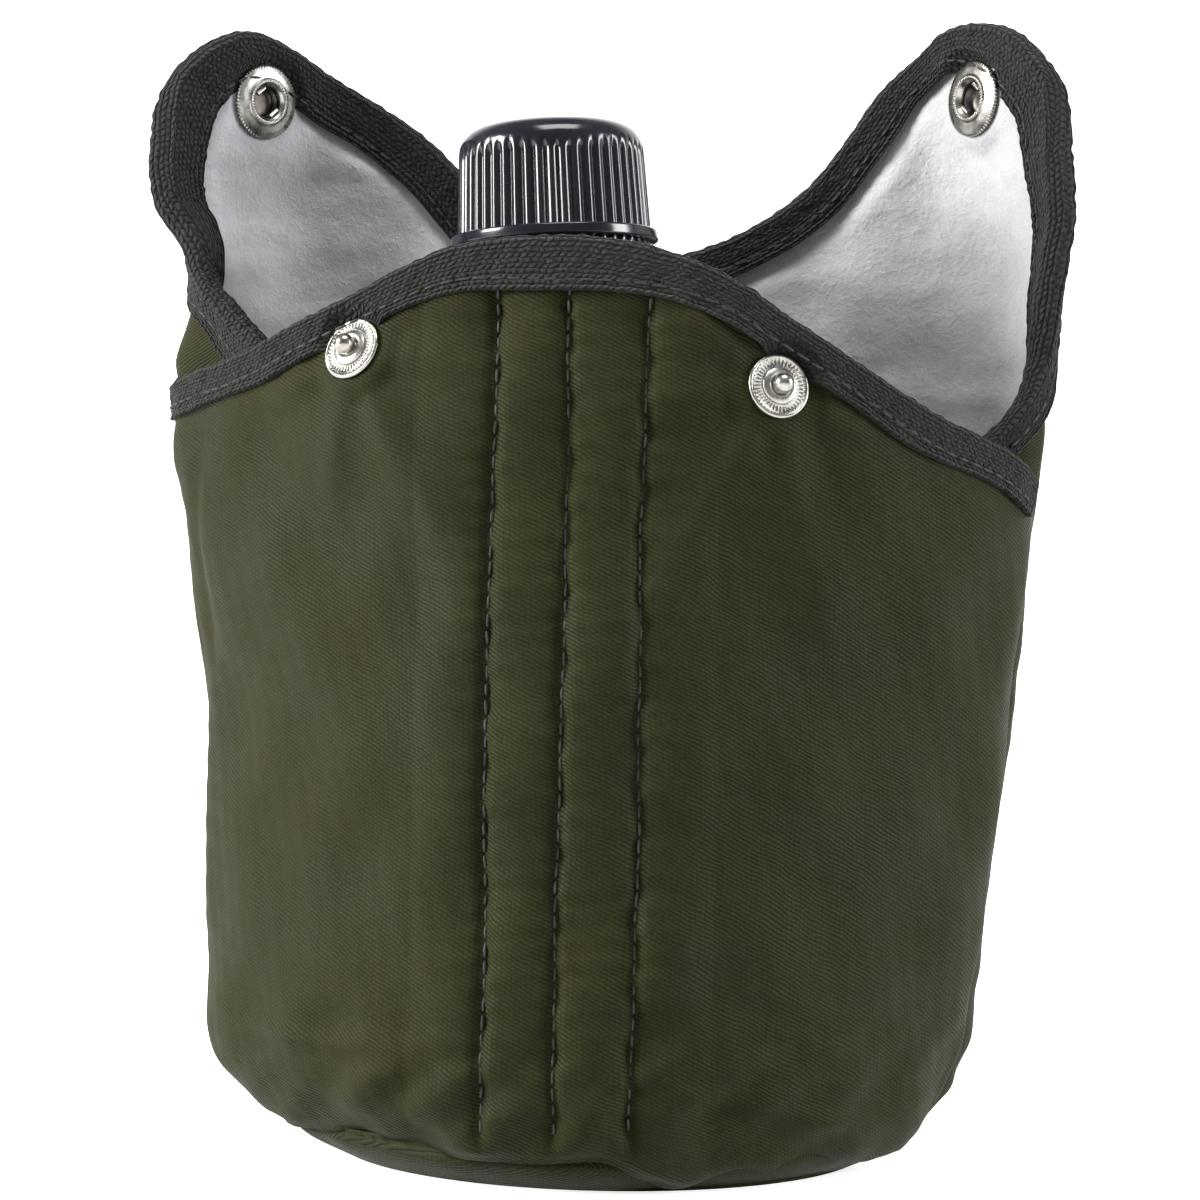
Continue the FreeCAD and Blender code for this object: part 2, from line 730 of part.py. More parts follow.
def bottle_block(inset, floor):
    wires = [kidney(half_width, front, back, radius, end_y, height, 0.0, inset)
             for height, half_width, front, back, radius, end_y in BOTTLE_SECTIONS]
    block = Part.makeLoft(wires, True, True)
    if floor > 0:
        block = block.cut(Part.makeBox(400, 400, floor, Vector(-200, -200, 0)))
    return block


def make_bottle():
    wall = size("bottle_wall")
    foot, top = size("neck_foot"), size("neck_top")
    outside = bottle_block(0.0, 0.0)
    neck = Part.makeCylinder(size("neck_radius"), top - foot, neck_axis(foot))
    outside = outside.fuse(neck)
    crest = 1.3
    for turn in range(3):
        level = size("cap_foot") + 4.0 + turn * size("thread_pitch")
        lower = Part.makeCone(size("neck_radius") - 0.1, size("thread_radius"), crest, neck_axis(level))
        upper = Part.makeCone(size("thread_radius"), size("neck_radius") - 0.1, crest,
                              neck_axis(level + crest))
        outside = outside.fuse(lower).fuse(upper)
    inside = bottle_block(wall, wall)
    bore = Part.makeCylinder(size("neck_bore"), top - foot + 2.0, neck_axis(foot - 1.0))
    shape = outside.cut(inside).cut(bore)
    keep_shape("bottle", shape, bottle_placement())


def revolved(points):
    """A solid of revolution about the upright axis, from points of radius and height."""
    corners = [Vector(radius, 0, level) for radius, level in points]
    face = Part.Face(Part.makePolygon(corners + corners[:1]))
    return face.revolve(Vector(0, 0, 0), UP, 360)


def ribbed_outline(radius, height):
    """The cap's ribbed outline: one flat-topped rib and one groove for each share of the turn."""
    count = int(size("rib_count"))
    root = radius * (1 - size("rib_depth") / size("cap_radius"))
    share = 2 * math.pi / count
    corners = []
    for index in range(count):
        for reach, part in ((root, 0.08), (radius, 0.3), (radius, 0.7), (root, 0.92)):
            angle = (index + part) * share
            corners.append(Vector(reach * math.cos(angle), reach * math.sin(angle), height))
    return Part.makePolygon(corners + corners[:1])


def make_cap():
    height, shoulder, crown = size("cap_height"), size("cap_shoulder"), size("cap_crown")
    foot, radius, top_radius = size("groove_top"), size("cap_radius"), size("cap_top_radius")
    ribs = Part.makeLoft([ribbed_outline(radius, foot), ribbed_outline(top_radius, height)], True, True)
    dome = []
    for angle in range(0, 91, 15):
        turn = math.radians(angle)
        dome.append((crown + (top_radius + 0.4 - crown) * math.cos(turn),
                     shoulder + (height - 0.05 - shoulder) * math.sin(turn)))
    outside = [(0, foot + 0.02), (radius + 1.0, foot + 0.02), (radius + 1.0, foot + 3.0)]
    envelope = revolved(outside + dome + [(0, height - 0.05)])
    flange, groove, groove_foot = size("cap_flange"), size("groove_radius"), size("groove_foot")
    skirt = revolved([(0, 0), (flange, 0), (flange, groove_foot), (groove, groove_foot),
                      (groove, foot + 0.5), (0, foot + 0.5)])
    bore = Part.makeCylinder(size("cap_bore"), height - size("cap_top_wall") + 1.0, Vector(0, 0, -1.0))
    shape = ribs.common(envelope).fuse(skirt).cut(bore)
    keep_shape("cap", shape, on_neck(size("cap_foot")))


def on_neck(level):
    return bottle_placement().multiply(Placement(neck_axis(level), Rotation()))


def ring_on_neck(label, radius, bore, height, level):
    """A flat ring about the neck, as one tube cut from another."""
    outside = bound("Part::Cylinder", label + "_outside", Radius="dimensions." + radius,
                    Height="dimensions." + height)
    inside = bound("Part::Cylinder", label + "_inside", Radius="dimensions." + bore,
                   Height="dimensions." + height + " + 2")
    lift(inside, "-1")
    ring = document.addObject("Part::Cut", label)
    ring.Base = outside
    ring.Tool = inside
    ring.Placement = on_neck(level)
    return ring


def make_cap_ring():
    level = size("cap_foot") + (size("groove_foot") + size("groove_top") - size("ring_height")) / 2
    keep(ring_on_neck("cap_ring", "ring_radius", "ring_bore", "ring_height", level), "cap_ring")


def make_gasket():
    level = size("cap_foot") + size("cap_height") - size("cap_top_wall") - size("gasket_thickness") - 0.05
    gasket = bound("Part::Cylinder", "cap_gasket", Radius="dimensions.cap_bore - 0.2",
                   Height="dimensions.gasket_thickness")
    gasket.Placement = on_neck(level)
    keep(gasket, "cap_gasket")


def make_strap():
    """The moulded strap: its lower ring hangs on the neck, and its tail rises behind the cap."""
    level = size("neck_ring_z")
    outer = size("neck_ring_radius")
    ring = Part.makeCylinder(outer, size("neck_ring_height"), neck_axis(level))
    ring = ring.cut(Part.makeCylinder(size("neck_radius") + 0.3, 10.0, neck_axis(level - 2.0)))
    thick, half = size("strap_thickness"), size("strap_width") / 2
    ring_back = size("neck_y") + outer - 0.6
    cap_back = size("neck_y") + size("ring_radius") + 0.35
    top = size("cap_foot") + 4.0
    path = [(ring_back, level), (cap_back + 2.0, level), (cap_back + thick + 2.6, level + 3.0),
            (cap_back + thick, top), (cap_back, top), (cap_back + 0.8, level + 4.0),
            (cap_back + 0.2, level + thick), (ring_back, level + thick)]
    points = [Vector(-half, y, z) for y, z in path]
    tail = Part.Face(Part.makePolygon(points + points[:1])).extrude(Vector(2 * half, 0, 0))
    keep_shape("cap_strap", ring.fuse(tail), bottle_placement())


# ---------------------------------------------------------------- build and write

def check_and_write():
    document.recompute()
    for item in document.Objects:
        if "Invalid" in item.State or "Error" in item.State:
            raise RuntimeError("%s failed: %s" % (item.Label, item.State))
    for item in sub_parts:
        if item.Shape.isNull() or not item.Shape.isValid() or item.Shape.Volume <= 0:
            raise RuntimeError("%s has no valid solid" % item.Label)
    os.makedirs("parts", exist_ok=True)
    for item in sub_parts:
        item.Shape.exportStep("parts/%s.step" % item.Label)
        print("%-22s %9.1f mm3  %d solid(s)" % (item.Label, item.Shape.Volume, len(item.Shape.Solids)))


fill_sheet()
make_ear(LEFT)
make_ear(RIGHT)
make_front()
make_back()
make_bottom()
make_belt_loop()
make_snaps()
make_bottle()
make_cap()
make_cap_ring()
make_gasket()
make_strap()
check_and_write()
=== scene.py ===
import json
import math
import bpy
import numpy as np
from mathutils import Euler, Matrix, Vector


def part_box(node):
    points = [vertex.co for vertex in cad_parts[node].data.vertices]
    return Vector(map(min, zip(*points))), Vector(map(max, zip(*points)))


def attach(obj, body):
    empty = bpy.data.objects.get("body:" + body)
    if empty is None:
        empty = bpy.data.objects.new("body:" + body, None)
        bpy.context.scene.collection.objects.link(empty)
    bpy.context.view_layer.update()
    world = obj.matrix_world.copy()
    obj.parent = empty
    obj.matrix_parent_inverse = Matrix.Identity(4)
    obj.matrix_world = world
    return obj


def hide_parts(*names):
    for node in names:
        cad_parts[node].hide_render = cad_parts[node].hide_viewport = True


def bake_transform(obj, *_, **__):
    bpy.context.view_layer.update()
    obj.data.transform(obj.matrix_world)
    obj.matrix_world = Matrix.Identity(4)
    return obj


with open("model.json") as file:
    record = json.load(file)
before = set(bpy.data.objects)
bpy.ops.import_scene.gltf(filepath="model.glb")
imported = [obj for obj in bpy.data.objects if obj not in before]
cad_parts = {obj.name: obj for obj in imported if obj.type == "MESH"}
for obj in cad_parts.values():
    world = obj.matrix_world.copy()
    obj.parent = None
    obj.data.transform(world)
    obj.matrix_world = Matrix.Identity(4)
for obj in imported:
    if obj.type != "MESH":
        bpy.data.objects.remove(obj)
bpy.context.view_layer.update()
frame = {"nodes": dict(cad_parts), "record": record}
rng = np.random.default_rng(7)

# Lengths are millimetres until a mesh is made.
MM = 0.001
NYLON, FELT, TAPE = 1.0, 2.2, 0.9
CLOTH = NYLON + FELT

# height, half width, centre x, depth to the front, depth to the back, end radius
SECTIONS = np.array((
    (0.0, 50.0, 3.5, 34.0, 18.5, 15.0), (3.0, 56.5, 3.5, 39.0, 22.5, 18.5),
    (8.0, 62.3, 3.2, 43.0, 25.6, 21.6), (13.0, 67.2, 1.9, 45.0, 27.0, 23.0),
    (19.0, 71.2, 0.6, 46.0, 27.5, 23.5), (36.0, 73.6, 1.2, 46.8, 28.0, 24.0),
    (58.0, 74.7, 3.2, 47.0, 28.0, 24.0), (76.0, 76.3, 3.9, 47.0, 28.0, 24.0),
    (104.0, 79.5, 2.8, 46.5, 28.5, 24.0), (121.0, 81.4, 2.9, 46.0, 29.6, 24.0),
    (135.0, 82.9, 2.5, 45.4, 30.2, 24.0), (150.0, 83.9, 2.0, 45.0, 30.4, 24.0),
    (172.0, 84.2, 1.6, 43.6, 30.4, 24.0)))
END_Y = 7.0
SEAM_Y = 4.0


def smooth(x, low, high):
    """A soft step from 0 at low to 1 at high, which may lie either way round."""
    t = np.clip((np.asarray(x, float) - low) / (high - low), 0, 1)
    return t * t * (3 - 2 * t)


def hermite(x, xs, ys):
    """A smooth curve through points that doesn't overshoot much, at every x."""
    x, xs, ys = np.asarray(x, float), np.asarray(xs, float), np.asarray(ys, float)
    steps = np.diff(xs)
    slopes = np.diff(ys) / steps
    inner = (slopes[:-1] * steps[1:] + slopes[1:] * steps[:-1]) / (steps[1:] + steps[:-1])
    inner = np.where(slopes[:-1] * slopes[1:] <= 0, 0.0, inner)
    tangents = np.concatenate(([slopes[0]], inner, [slopes[-1]]))
    i = np.clip(np.searchsorted(xs, x) - 1, 0, len(xs) - 2)
    h = xs[i + 1] - xs[i]
    t = (x - xs[i]) / h
    t2, t3 = t * t, t * t * t
    return ((2 * t3 - 3 * t2 + 1) * ys[i] + (t3 - 2 * t2 + t) * h * tangents[i]
            + (-2 * t3 + 3 * t2) * ys[i + 1] + (t3 - t2) * h * tangents[i + 1])


def bell(distance, width):
    """1 in the middle, falling away on both sides."""
    return np.exp(-(distance / width) ** 2)


def unit(vectors):
    vectors = np.asarray(vectors, float)
    return vectors / np.linalg.norm(vectors, axis=-1, keepdims=True)


def run_along(points):
    """The length of a polyline up to each of its points."""
    return np.concatenate(([0], np.cumsum(np.linalg.norm(np.diff(points, axis=0), axis=1))))


def waves(a, b, seed, sizes):
    """Smooth random relief over two coordinates: a sum of sine waves of the given sizes."""
    source = np.random.default_rng(seed)
    total = np.zeros_like(np.asarray(a, float))
    for length in sizes:
        for _ in range(3):
            turn, phase = source.uniform(0, math.tau, 2)
            scale = source.uniform(0.75, 1.3) * length
            total += np.sin((a * math.cos(turn) + b * math.sin(turn)) * math.tau / scale + phase)
    return total / (3 * len(sizes)) ** 0.5


def row_at(rows, z):
    """A table's other columns at a height, which is its first column."""
    return [float(hermite(z, rows[:, 0], rows[:, k])) for k in range(1, rows.shape[1])]


def kidney_half(z):
    """One half of the outline at a level, from the front's middle round the end to the back's."""
    half_width, _, front, back, radius = row_at(SECTIONS, z)
    reach = half_width - radius
    rise = front + END_Y - radius
    front_radius = (reach ** 2 + rise ** 2) / (2 * rise) + radius
    turn = math.atan2(reach, front_radius - front - END_Y)
    angles = np.linspace(0, turn, 90)
    front_y = front_radius - front
    points = [np.column_stack((front_radius * np.sin(angles), front_y - front_radius * np.cos(angles)))]
    back_rise = back - END_Y - radius
    if abs(back_rise) < 1e-3:
        back_rise = -1e-3
    hollow = -(reach ** 2 + back_rise ** 2) / (2 * back_rise) - radius
    centre_y = back + hollow
    stop = math.atan2(reach, centre_y - END_Y)
    angles = np.linspace(turn, math.pi - stop, 90)[1:]
    points.append(np.column_stack((reach + radius * np.sin(angles), END_Y - radius * np.cos(angles))))
    angles = np.linspace(stop, 0, 60)[1:]
    points.append(np.column_stack((hollow * np.sin(angles), centre_y - hollow * np.cos(angles))))
    return np.concatenate(points)


def by_length(points, lengths):
    """Points at lengths along a polyline, straight on past its ends."""
    along = run_along(points)
    inside = np.clip(lengths, 0, along[-1])
    found = np.column_stack([np.interp(inside, along, points[:, k]) for k in range(points.shape[1])])
    extra = np.asarray(lengths) - inside
    last = (points[-1] - points[-2]) / max(along[-1] - along[-2], 1e-9)
    first = (points[1] - points[0]) / max(along[1], 1e-9)
    return found + np.where(extra[:, None] > 0, last, first) * extra[:, None]


class Levels:
    """A surface made of level curves, tabulated by height and by length along the curve."""

    def __init__(self, heights, lengths, curves):
        self.z, self.a = np.asarray(heights, float), np.asarray(lengths, float)
        self.xy = np.asarray(curves, float)

    def flat(self, a, z):
        a, z = np.broadcast_arrays(np.asarray(a, float), np.asarray(z, float))
        i = np.clip((a - self.a[0]) / (self.a[1] - self.a[0]), 0, len(self.a) - 1.001)
        j = np.clip((z - self.z[0]) / (self.z[1] - self.z[0]), 0, len(self.z) - 1.001)
        i0, j0 = i.astype(int), j.astype(int)
        fi, fj = (i - i0)[..., None], (j - j0)[..., None]
        xy = ((self.xy[j0, i0] * (1 - fi) + self.xy[j0, i0 + 1] * fi) * (1 - fj)
              + (self.xy[j0 + 1, i0] * (1 - fi) + self.xy[j0 + 1, i0 + 1] * fi) * fj)
        return np.concatenate((xy, z[..., None]), axis=-1)

    def normal(self, a, z, step=1.6):
        across = self.flat(np.asarray(a) + step, z) - self.flat(np.asarray(a) - step, z)
        up = self.flat(a, np.asarray(z) + step) - self.flat(a, np.asarray(z) - step)
        return unit(np.cross(across, up))


# The front: length is measured from its middle, to the right.
LEVELS = np.arange(0.0, 224.0, 1.0)
SPAN = np.arange(-205.0, 205.5, 0.5)


def front_levels():
    curves, half = [], []
    for z in LEVELS:
        outline = kidney_half(z)
        centre_x = row_at(SECTIONS, z)[1]
        half.append(np.interp(SEAM_Y, outline[:170, 1], run_along(outline)[:170]))
        right = by_length(outline, np.abs(SPAN))
        curves.append(np.column_stack((right[:, 0] * np.where(SPAN < 0, -1, 1) + centre_x, right[:, 1])))
    return Levels(LEVELS, SPAN, curves), np.array(half)


FRONT, FRONT_HALF = front_levels()


def front_reach(z):
    return np.interp(z, LEVELS, FRONT_HALF)


# Each ear's plan by height: the corner's x and y, its radius, and the x and y of its end.
EAR_ROWS = {
    -1: np.array((
        (150, -79.8, 30.4, 24, -80.4, 4.0), (162, -75.5, 30.0, 23, -77.6, 2.5),
        (171, -72.5, 29.8, 21.5, -78.2, 1.2), (181, -70.2, 29.5, 20, -84.2, 0),
        (203, -61.2, 28, 18, -84.4, 1.6), (222, -55.5, 28, 18, -82, 2)), float),
    1: np.array((
        (150, 86.4, 30.4, 24, 87.0, 4.0), (165, 82, 30.0, 22.5, 87.8, -2.5), (180, 76, 29.5, 20, 90, -5),
        (203, 64.6, 28, 18, 88.6, -2.4), (222, 59.5, 28, 18, 86, -1)), float)}
# How far each ear's front edge runs on round the front, inside the front panel: height and length.
TUCK = {
    -1: np.array((
        (128, 50), (142, 43), (149, 33), (157, 19), (167, 6), (175, 1.5), (182, 0), (224, 0)), float),
    1: np.array((
        (118, 32), (128, 24), (136, 15.5), (144, 9), (152, 5), (162, 2), (176, 0), (224, 0)), float)}
# Each ear's edge above its upright front: x and height.
EAR_TOP = {
    -1: ((-84.3, 199.0), (-82.0, 206.3), (-77.6, 212.2), (-71.5, 215.3), (-64.0, 213.0), (-56.3, 208.4),
         (-46.7, 202.9), (-37.1, 196.4), (-31.2, 190.8), (-27.0, 185.2), (-22.6, 180.3), (-15.5, 175.6),
         (-8.0, 173.2)),
    1: ((88.9, 196.5), (87.6, 203.5), (84.4, 209.6), (79.8, 214.6), (74.3, 217.0), (69.4, 217.0),
        (65.5, 215.3), (58.7, 210.7), (53.6, 205.7), (48.0, 197.5), (42.0, 189.6), (36.5, 184.4),
        (30.0, 180.0), (22.0, 176.0), (12.0, 173.2))}
# the last level of the sections, and the one where the ears' own plan begins
TOP_LEVEL, EAR_LEVEL = 172.0, 150.0


def ear_plan(side, z):
    corner_x, corner_y, radius, end_x, end_y = row_at(EAR_ROWS[side], z)
    corner, end = np.array((corner_x, corner_y)), np.array((end_x, end_y))
    along = unit(end - corner)
    turn = math.acos(side * along[0])
    reach = radius / math.tan((math.pi - turn) / 2)
    start = corner - np.array((side, 0)) * reach
    centre = start - np.array((0, radius))
    angles = np.linspace(0, turn, 60)
    arc = np.column_stack((centre[0] + side * radius * np.sin(angles), centre[1] + radius * np.cos(angles)))
    straight = np.column_stack((np.linspace(0, start[0], 60)[:-1], np.full(59, corner[1])))
    tail = np.linspace(0, 1, 30)[1:, None] * (end - arc[-1]) + arc[-1]
    return np.concatenate((straight, arc, tail))


def track_inside(side):
    """The front's outline from its side seam inward, and its normals, at the ears' foot."""
    past = np.arange(0.5, 60.5, 0.5)
    reach = float(front_reach(EAR_LEVEL))
    start = FRONT.flat(side * reach, EAR_LEVEL)[:2]
    lengths, level = side * (reach - past), np.full(len(past), EAR_LEVEL)
    return past, FRONT.flat(lengths, level)[:, :2] - start, FRONT.normal(lengths, level)[:, :2]


def back_levels():
    """The back and its ears: length is measured from the back's middle, to the right."""
    curves, half = [], {-1: [], 1: []}
    tracks = {side: track_inside(side) for side in half}
    for z in LEVELS:
        low = kidney_half(min(z, TOP_LEVEL))[::-1]
        keep = low[:, 1] >= SEAM_Y
        low = low[keep | np.roll(keep, 1)]
        shift = row_at(SECTIONS, z)[1]
        blend = float(smooth(z, 118, 152))
        level = np.zeros((len(SPAN), 2))
        for side in (-1, 1):
            mixed = np.column_stack((low[:, 0] * side + shift, low[:, 1]))
            if blend > 0:
                share = np.linspace(0, 1, 220)
                plan = ear_plan(side, max(z, EAR_LEVEL))
                plan, base = (by_length(line, share * run_along(line)[-1]) for line in (plan, mixed))
                mixed = base * (1 - blend) + plan * blend
            half[side].append(run_along(mixed)[-1])
            # past the end the curve follows the front's outline, sinking inside the front panel
            past, track, normal = tracks[side]
            depth = smooth(past, 2, 16) * (CLOTH + 1.6) * (1 - 0.7 * float(smooth(z, 150, 164)))
            full = np.concatenate((mixed, mixed[-1] + track - normal * depth[:, None]))
            full[0, 0] = 0.0 if blend >= 1 else full[0, 0]
            mine = (SPAN * side) >= 0
            level[mine] = by_length(full, SPAN[mine] * side)
        curves.append(level)
    return Levels(LEVELS, SPAN, curves), {side: np.array(half[side]) for side in half}


# Its computed normal points into the cover, so it is turned round wherever it is used.
BACK, BACK_HALF = back_levels()


def back_reach(side, z):
    return np.interp(z, LEVELS, BACK_HALF[side])


def back_length_at(side, x, z):
    lengths = np.arange(0, 165, 0.5) * side
    xs = BACK.flat(lengths, z)[:, 0] * side
    top = int(np.argmax(xs))
    return float(np.interp(x * side, xs[:top + 1], lengths[:top + 1] * side)) * side


def spline(points, spacing):
    """A smooth curve through points, sampled evenly."""
    points = np.asarray(points, float)
    extended = np.concatenate((2 * points[:1] - points[1:2], points, 2 * points[-1:] - points[-2:-1]))
    dense = []
    for i in range(1, len(extended) - 2):
        p0, p1, p2, p3 = extended[i - 1:i + 3]
        t = np.linspace(0, 1, 24, endpoint=False)[:, None]
        dense.append(0.5 * (2 * p1 + (p2 - p0) * t + (2 * p0 - 5 * p1 + 4 * p2 - p3) * t ** 2
                            + (3 * p1 - p0 - 3 * p2 + p3) * t ** 3))
    dense = np.concatenate(dense + [points[-1:]])
    total = run_along(dense)[-1]
    return by_length(dense, np.linspace(0, total, max(int(total / spacing), 4)))


# ------------------------------------------------------------ meshes

def mesh_object(name, points, faces, uv):
    mesh = bpy.data.meshes.new(name)
    mesh.from_pydata((np.asarray(points) * MM).tolist(), [], [tuple(f) for f in faces])
    mesh.update()
    mesh.polygons.foreach_set("use_smooth", [True] * len(mesh.polygons))
    layer = mesh.uv_layers.new(name="UVMap")
    loops = np.zeros(len(mesh.loops), int)
    mesh.loops.foreach_get("vertex_index", loops)
    layer.data.foreach_set("uv", np.asarray(uv, float)[loops].ravel())
    item = bpy.data.objects.new(name, mesh)
    bpy.context.scene.collection.objects.link(item)
    return item


def grid_faces(rows, columns, offset=0, flip=False, closed=False):
    j, i = np.meshgrid(np.arange(rows - 1), np.arange(columns if closed else columns - 1), indexing="ij")
    a = j * columns + i
    b = j * columns + (i + 1) % columns
    c, d = a + columns, b + columns
    quads = np.stack((a, b, d, c), axis=-1).reshape(-1, 4) + offset
    return quads[:, ::-1] if flip else quads


def slab(outer, inner, uv, flip=False):
    """Two matching grids and the walls between them, as one closed set of points and faces."""
    rows, columns = outer.shape[:2]
    count = rows * columns
    faces = [grid_faces(rows, columns, 0, flip), grid_faces(rows, columns, count, not flip)]
    index = np.arange(count).reshape(rows, columns)
    ring = np.concatenate((index[0, :], index[1:, -1], index[-1, -2::-1], index[-2:0:-1, 0]))
    after = np.roll(ring, -1)
    wall = np.stack((after, ring, ring + count, after + count), axis=-1)
    faces.append(wall[:, ::-1] if flip else wall)
    points = np.concatenate((outer.reshape(-1, 3), inner.reshape(-1, 3)))
    return points, np.concatenate(faces), np.concatenate((uv.reshape(-1, 2), uv.reshape(-1, 2)))


def join_parts(parts):
    points, faces, uvs, start = [], [], [], 0
    for p, f, u in parts:
        points.append(p)
        faces.extend([[v + start for v in face] for face in f])
        uvs.append(u)
        start += len(p)
    return np.concatenate(points), faces, np.concatenate(uvs)


def subset(points, faces, uv, keep):
    """Only the faces that are kept, with the points they use."""
    faces = np.asarray(faces)[keep]
    used, back = np.unique(faces.ravel(), return_inverse=True)
    return points[used], back.reshape(faces.shape), uv[used]


# ------------------------------------------------------------ materials

class Value:
    """A number in a shader, with ordinary arithmetic."""

    def __init__(self, tree, socket):
        self.tree, self.socket = tree, socket

    def maths(self, operation, *others):
        item = self.tree.nodes.new("ShaderNodeMath")
        item.operation = operation
        for place, value in zip(item.inputs, (self, *others)):
            if isinstance(value, Value):
                self.tree.links.new(value.socket, place)
            else:
                place.default_value = value
        return Value(self.tree, item.outputs[0])

    def __add__(self, other):
        return self.maths("ADD", other)

    def __sub__(self, other):
        return self.maths("SUBTRACT", other)

    def __mul__(self, other):
        return self.maths("MULTIPLY", other)

    def __truediv__(self, other):
        return self.maths("DIVIDE", other)

    def rib(self, power):
        """A rounded rib: 0 at each whole number and 1 halfway, as a power of a sine."""
        return (self * math.pi).maths("SINE").maths("ABSOLUTE").maths("POWER", power)

    def spread(self, low, high, start=0.0, stop=1.0):
        item = self.tree.nodes.new("ShaderNodeMapRange")
        self.tree.links.new(self.socket, item.inputs["Value"])
        for key, number in (("From Min", start), ("From Max", stop), ("To Min", low), ("To Max", high)):
            item.inputs[key].default_value = number
        return Value(self.tree, item.outputs["Result"])


class Shader:
    """A material in the making."""

    def __init__(self, name, **values):
        self.material = bpy.data.materials.new(name)
        self.material.use_nodes = True
        self.tree = self.material.node_tree
        self.surface = self.tree.nodes["Principled BSDF"]
        for key, value in values.items():
            self.surface.inputs[key.replace("_", " ")].default_value = value

    def place(self, kind):
        return self.tree.nodes.new("ShaderNodeTexCoord").outputs[kind]

    def flat(self):
        """A piece's flat coordinates, which are in millimetres."""
        split = self.tree.nodes.new("ShaderNodeSeparateXYZ")
        self.tree.links.new(self.place("UV"), split.inputs[0])
        return Value(self.tree, split.outputs[0]), Value(self.tree, split.outputs[1])

    def noise(self, scale, detail=3.0, roughness=0.55, kind="Object"):
        item = self.tree.nodes.new("ShaderNodeTexNoise")
        for key, value in (("Scale", scale), ("Detail", detail), ("Roughness", roughness)):
            item.inputs[key].default_value = value
        self.tree.links.new(self.place(kind), item.inputs["Vector"])
        return Value(self.tree, item.outputs["Fac"])

    def colour(self, tone, *stops):
        item = self.tree.nodes.new("ShaderNodeValToRGB")
        self.tree.links.new(tone.socket, item.inputs["Fac"])
        elements = item.color_ramp.elements
        while len(elements) < len(stops):
            elements.new(0.5)
        for element, (place, colour) in zip(elements, stops):
            element.position = place
            element.color = (*colour, 1.0)
        self.tree.links.new(item.outputs["Color"], self.surface.inputs["Base Color"])

    def finish(self, roughness, height, strength, distance):
        """Add the roughness and the bump, whose distance is in metres."""
        self.tree.links.new(roughness.socket, self.surface.inputs["Roughness"])
        item = self.tree.nodes.new("ShaderNodeBump")
        item.inputs["Strength"].default_value = strength
        item.inputs["Distance"].default_value = distance
        self.tree.links.new(height.socket, item.inputs["Height"])
        self.tree.links.new(item.outputs["Normal"], self.surface.inputs["Normal"])
        return self.material


def twill(cloth, pitch):
    """A fine twill over the flat coordinates: 0 between ridges, 1 on top."""
    shift = (cloth.noise(0.12, 2.0, 0.5, "UV") - 0.5) * (pitch * 2.0)
    x, y = (value + shift for value in cloth.flat())
    over = (x * 0.45 + y * 0.893) / pitch
    along = x * 0.893 - y * 0.45
    dash = (along / (pitch * 1.5) + over.maths("FLOOR") * 0.37).rib(0.5)
    return over.rib(0.7) * (dash * 0.45 + 0.55)


def yarn_rows(cloth, row_pitch, grain):
    """Short slanted yarns in rows over the flat coordinates: 0 between yarns, 1 on top."""
    x, y = cloth.flat()
    shift = (cloth.noise(0.35, 2.0, 0.5, "UV") - 0.5) * 2.2
    rows = (y + shift * 0.5) / row_pitch
    row, part = rows.maths("FLOOR"), rows.maths("FRACT")
    side = row.maths("PINGPONG", 1.0) * 2.0 - 1.0
    slant = (part - 0.5) * side * 0.45
    phase = (x + shift) / grain + (row * 0.5 + slant)
    return part.rib(0.6) * phase.rib(0.5)


def make_nylon():
    cloth = Shader("nylon_cloth", Roughness=0.6, Sheen_Weight=0.015, Sheen_Roughness=0.4,
                   Specular_IOR_Level=0.1)
    weave, fade, fine = twill(cloth, 0.70), cloth.noise(38.0, 4.0, 0.6), cloth.noise(900.0, 2.0, 0.5)
    cloth.colour(weave * 0.45 + (fade * 0.4 + fine * 0.25), (0.2, (0.006, 0.0062, 0.0014)),
                 (0.5, (0.0175, 0.0183, 0.0052)), (0.85, (0.036, 0.036, 0.0115)))
    return cloth.finish(fade.spread(0.5, 0.72, 0.3, 0.7), weave + fine * 0.3, 0.6, 0.00024)


def make_felt():
    cloth = Shader("brushed_felt", Roughness=0.95, Sheen_Weight=0.55, Sheen_Roughness=0.6,
                   Specular_IOR_Level=0.15)
    patches, clumps = cloth.noise(70.0, 4.0, 0.6), cloth.noise(330.0, 3.0, 0.6)
    fibres = cloth.noise(1300.0, 4.0, 0.75)
    cloth.colour(patches * 0.4 + (fibres * 0.3 + clumps * 0.3), (0.3, (0.48, 0.467, 0.49)),
                 (0.55, (0.60, 0.59, 0.61)), (0.75, (0.70, 0.69, 0.71)))
    return cloth.finish(fibres.spread(0.85, 1.0), fibres + clumps * 1.6, 0.55, 0.0005)


def make_tape():
    cloth = Shader("tape_cloth", Roughness=0.85, Sheen_Weight=0.07, Sheen_Roughness=0.5,
                   Specular_IOR_Level=0.25)
    yarns, fibres = yarn_rows(cloth, 1.05, 1.4), cloth.noise(1700.0, 4.0, 0.7)
    patches = cloth.noise(110.0, 3.0, 0.6)
    cloth.colour(yarns * 0.6 + (fibres * 0.25 + patches * 0.15), (0.2, (0.0010, 0.0015, 0.0012)),
                 (0.55, (0.0075, 0.0103, 0.0080)), (0.85, (0.029, 0.036, 0.029)))
    return cloth.finish(patches.spread(0.7, 0.92), yarns + fibres * 0.25, 1.0, 0.0006)


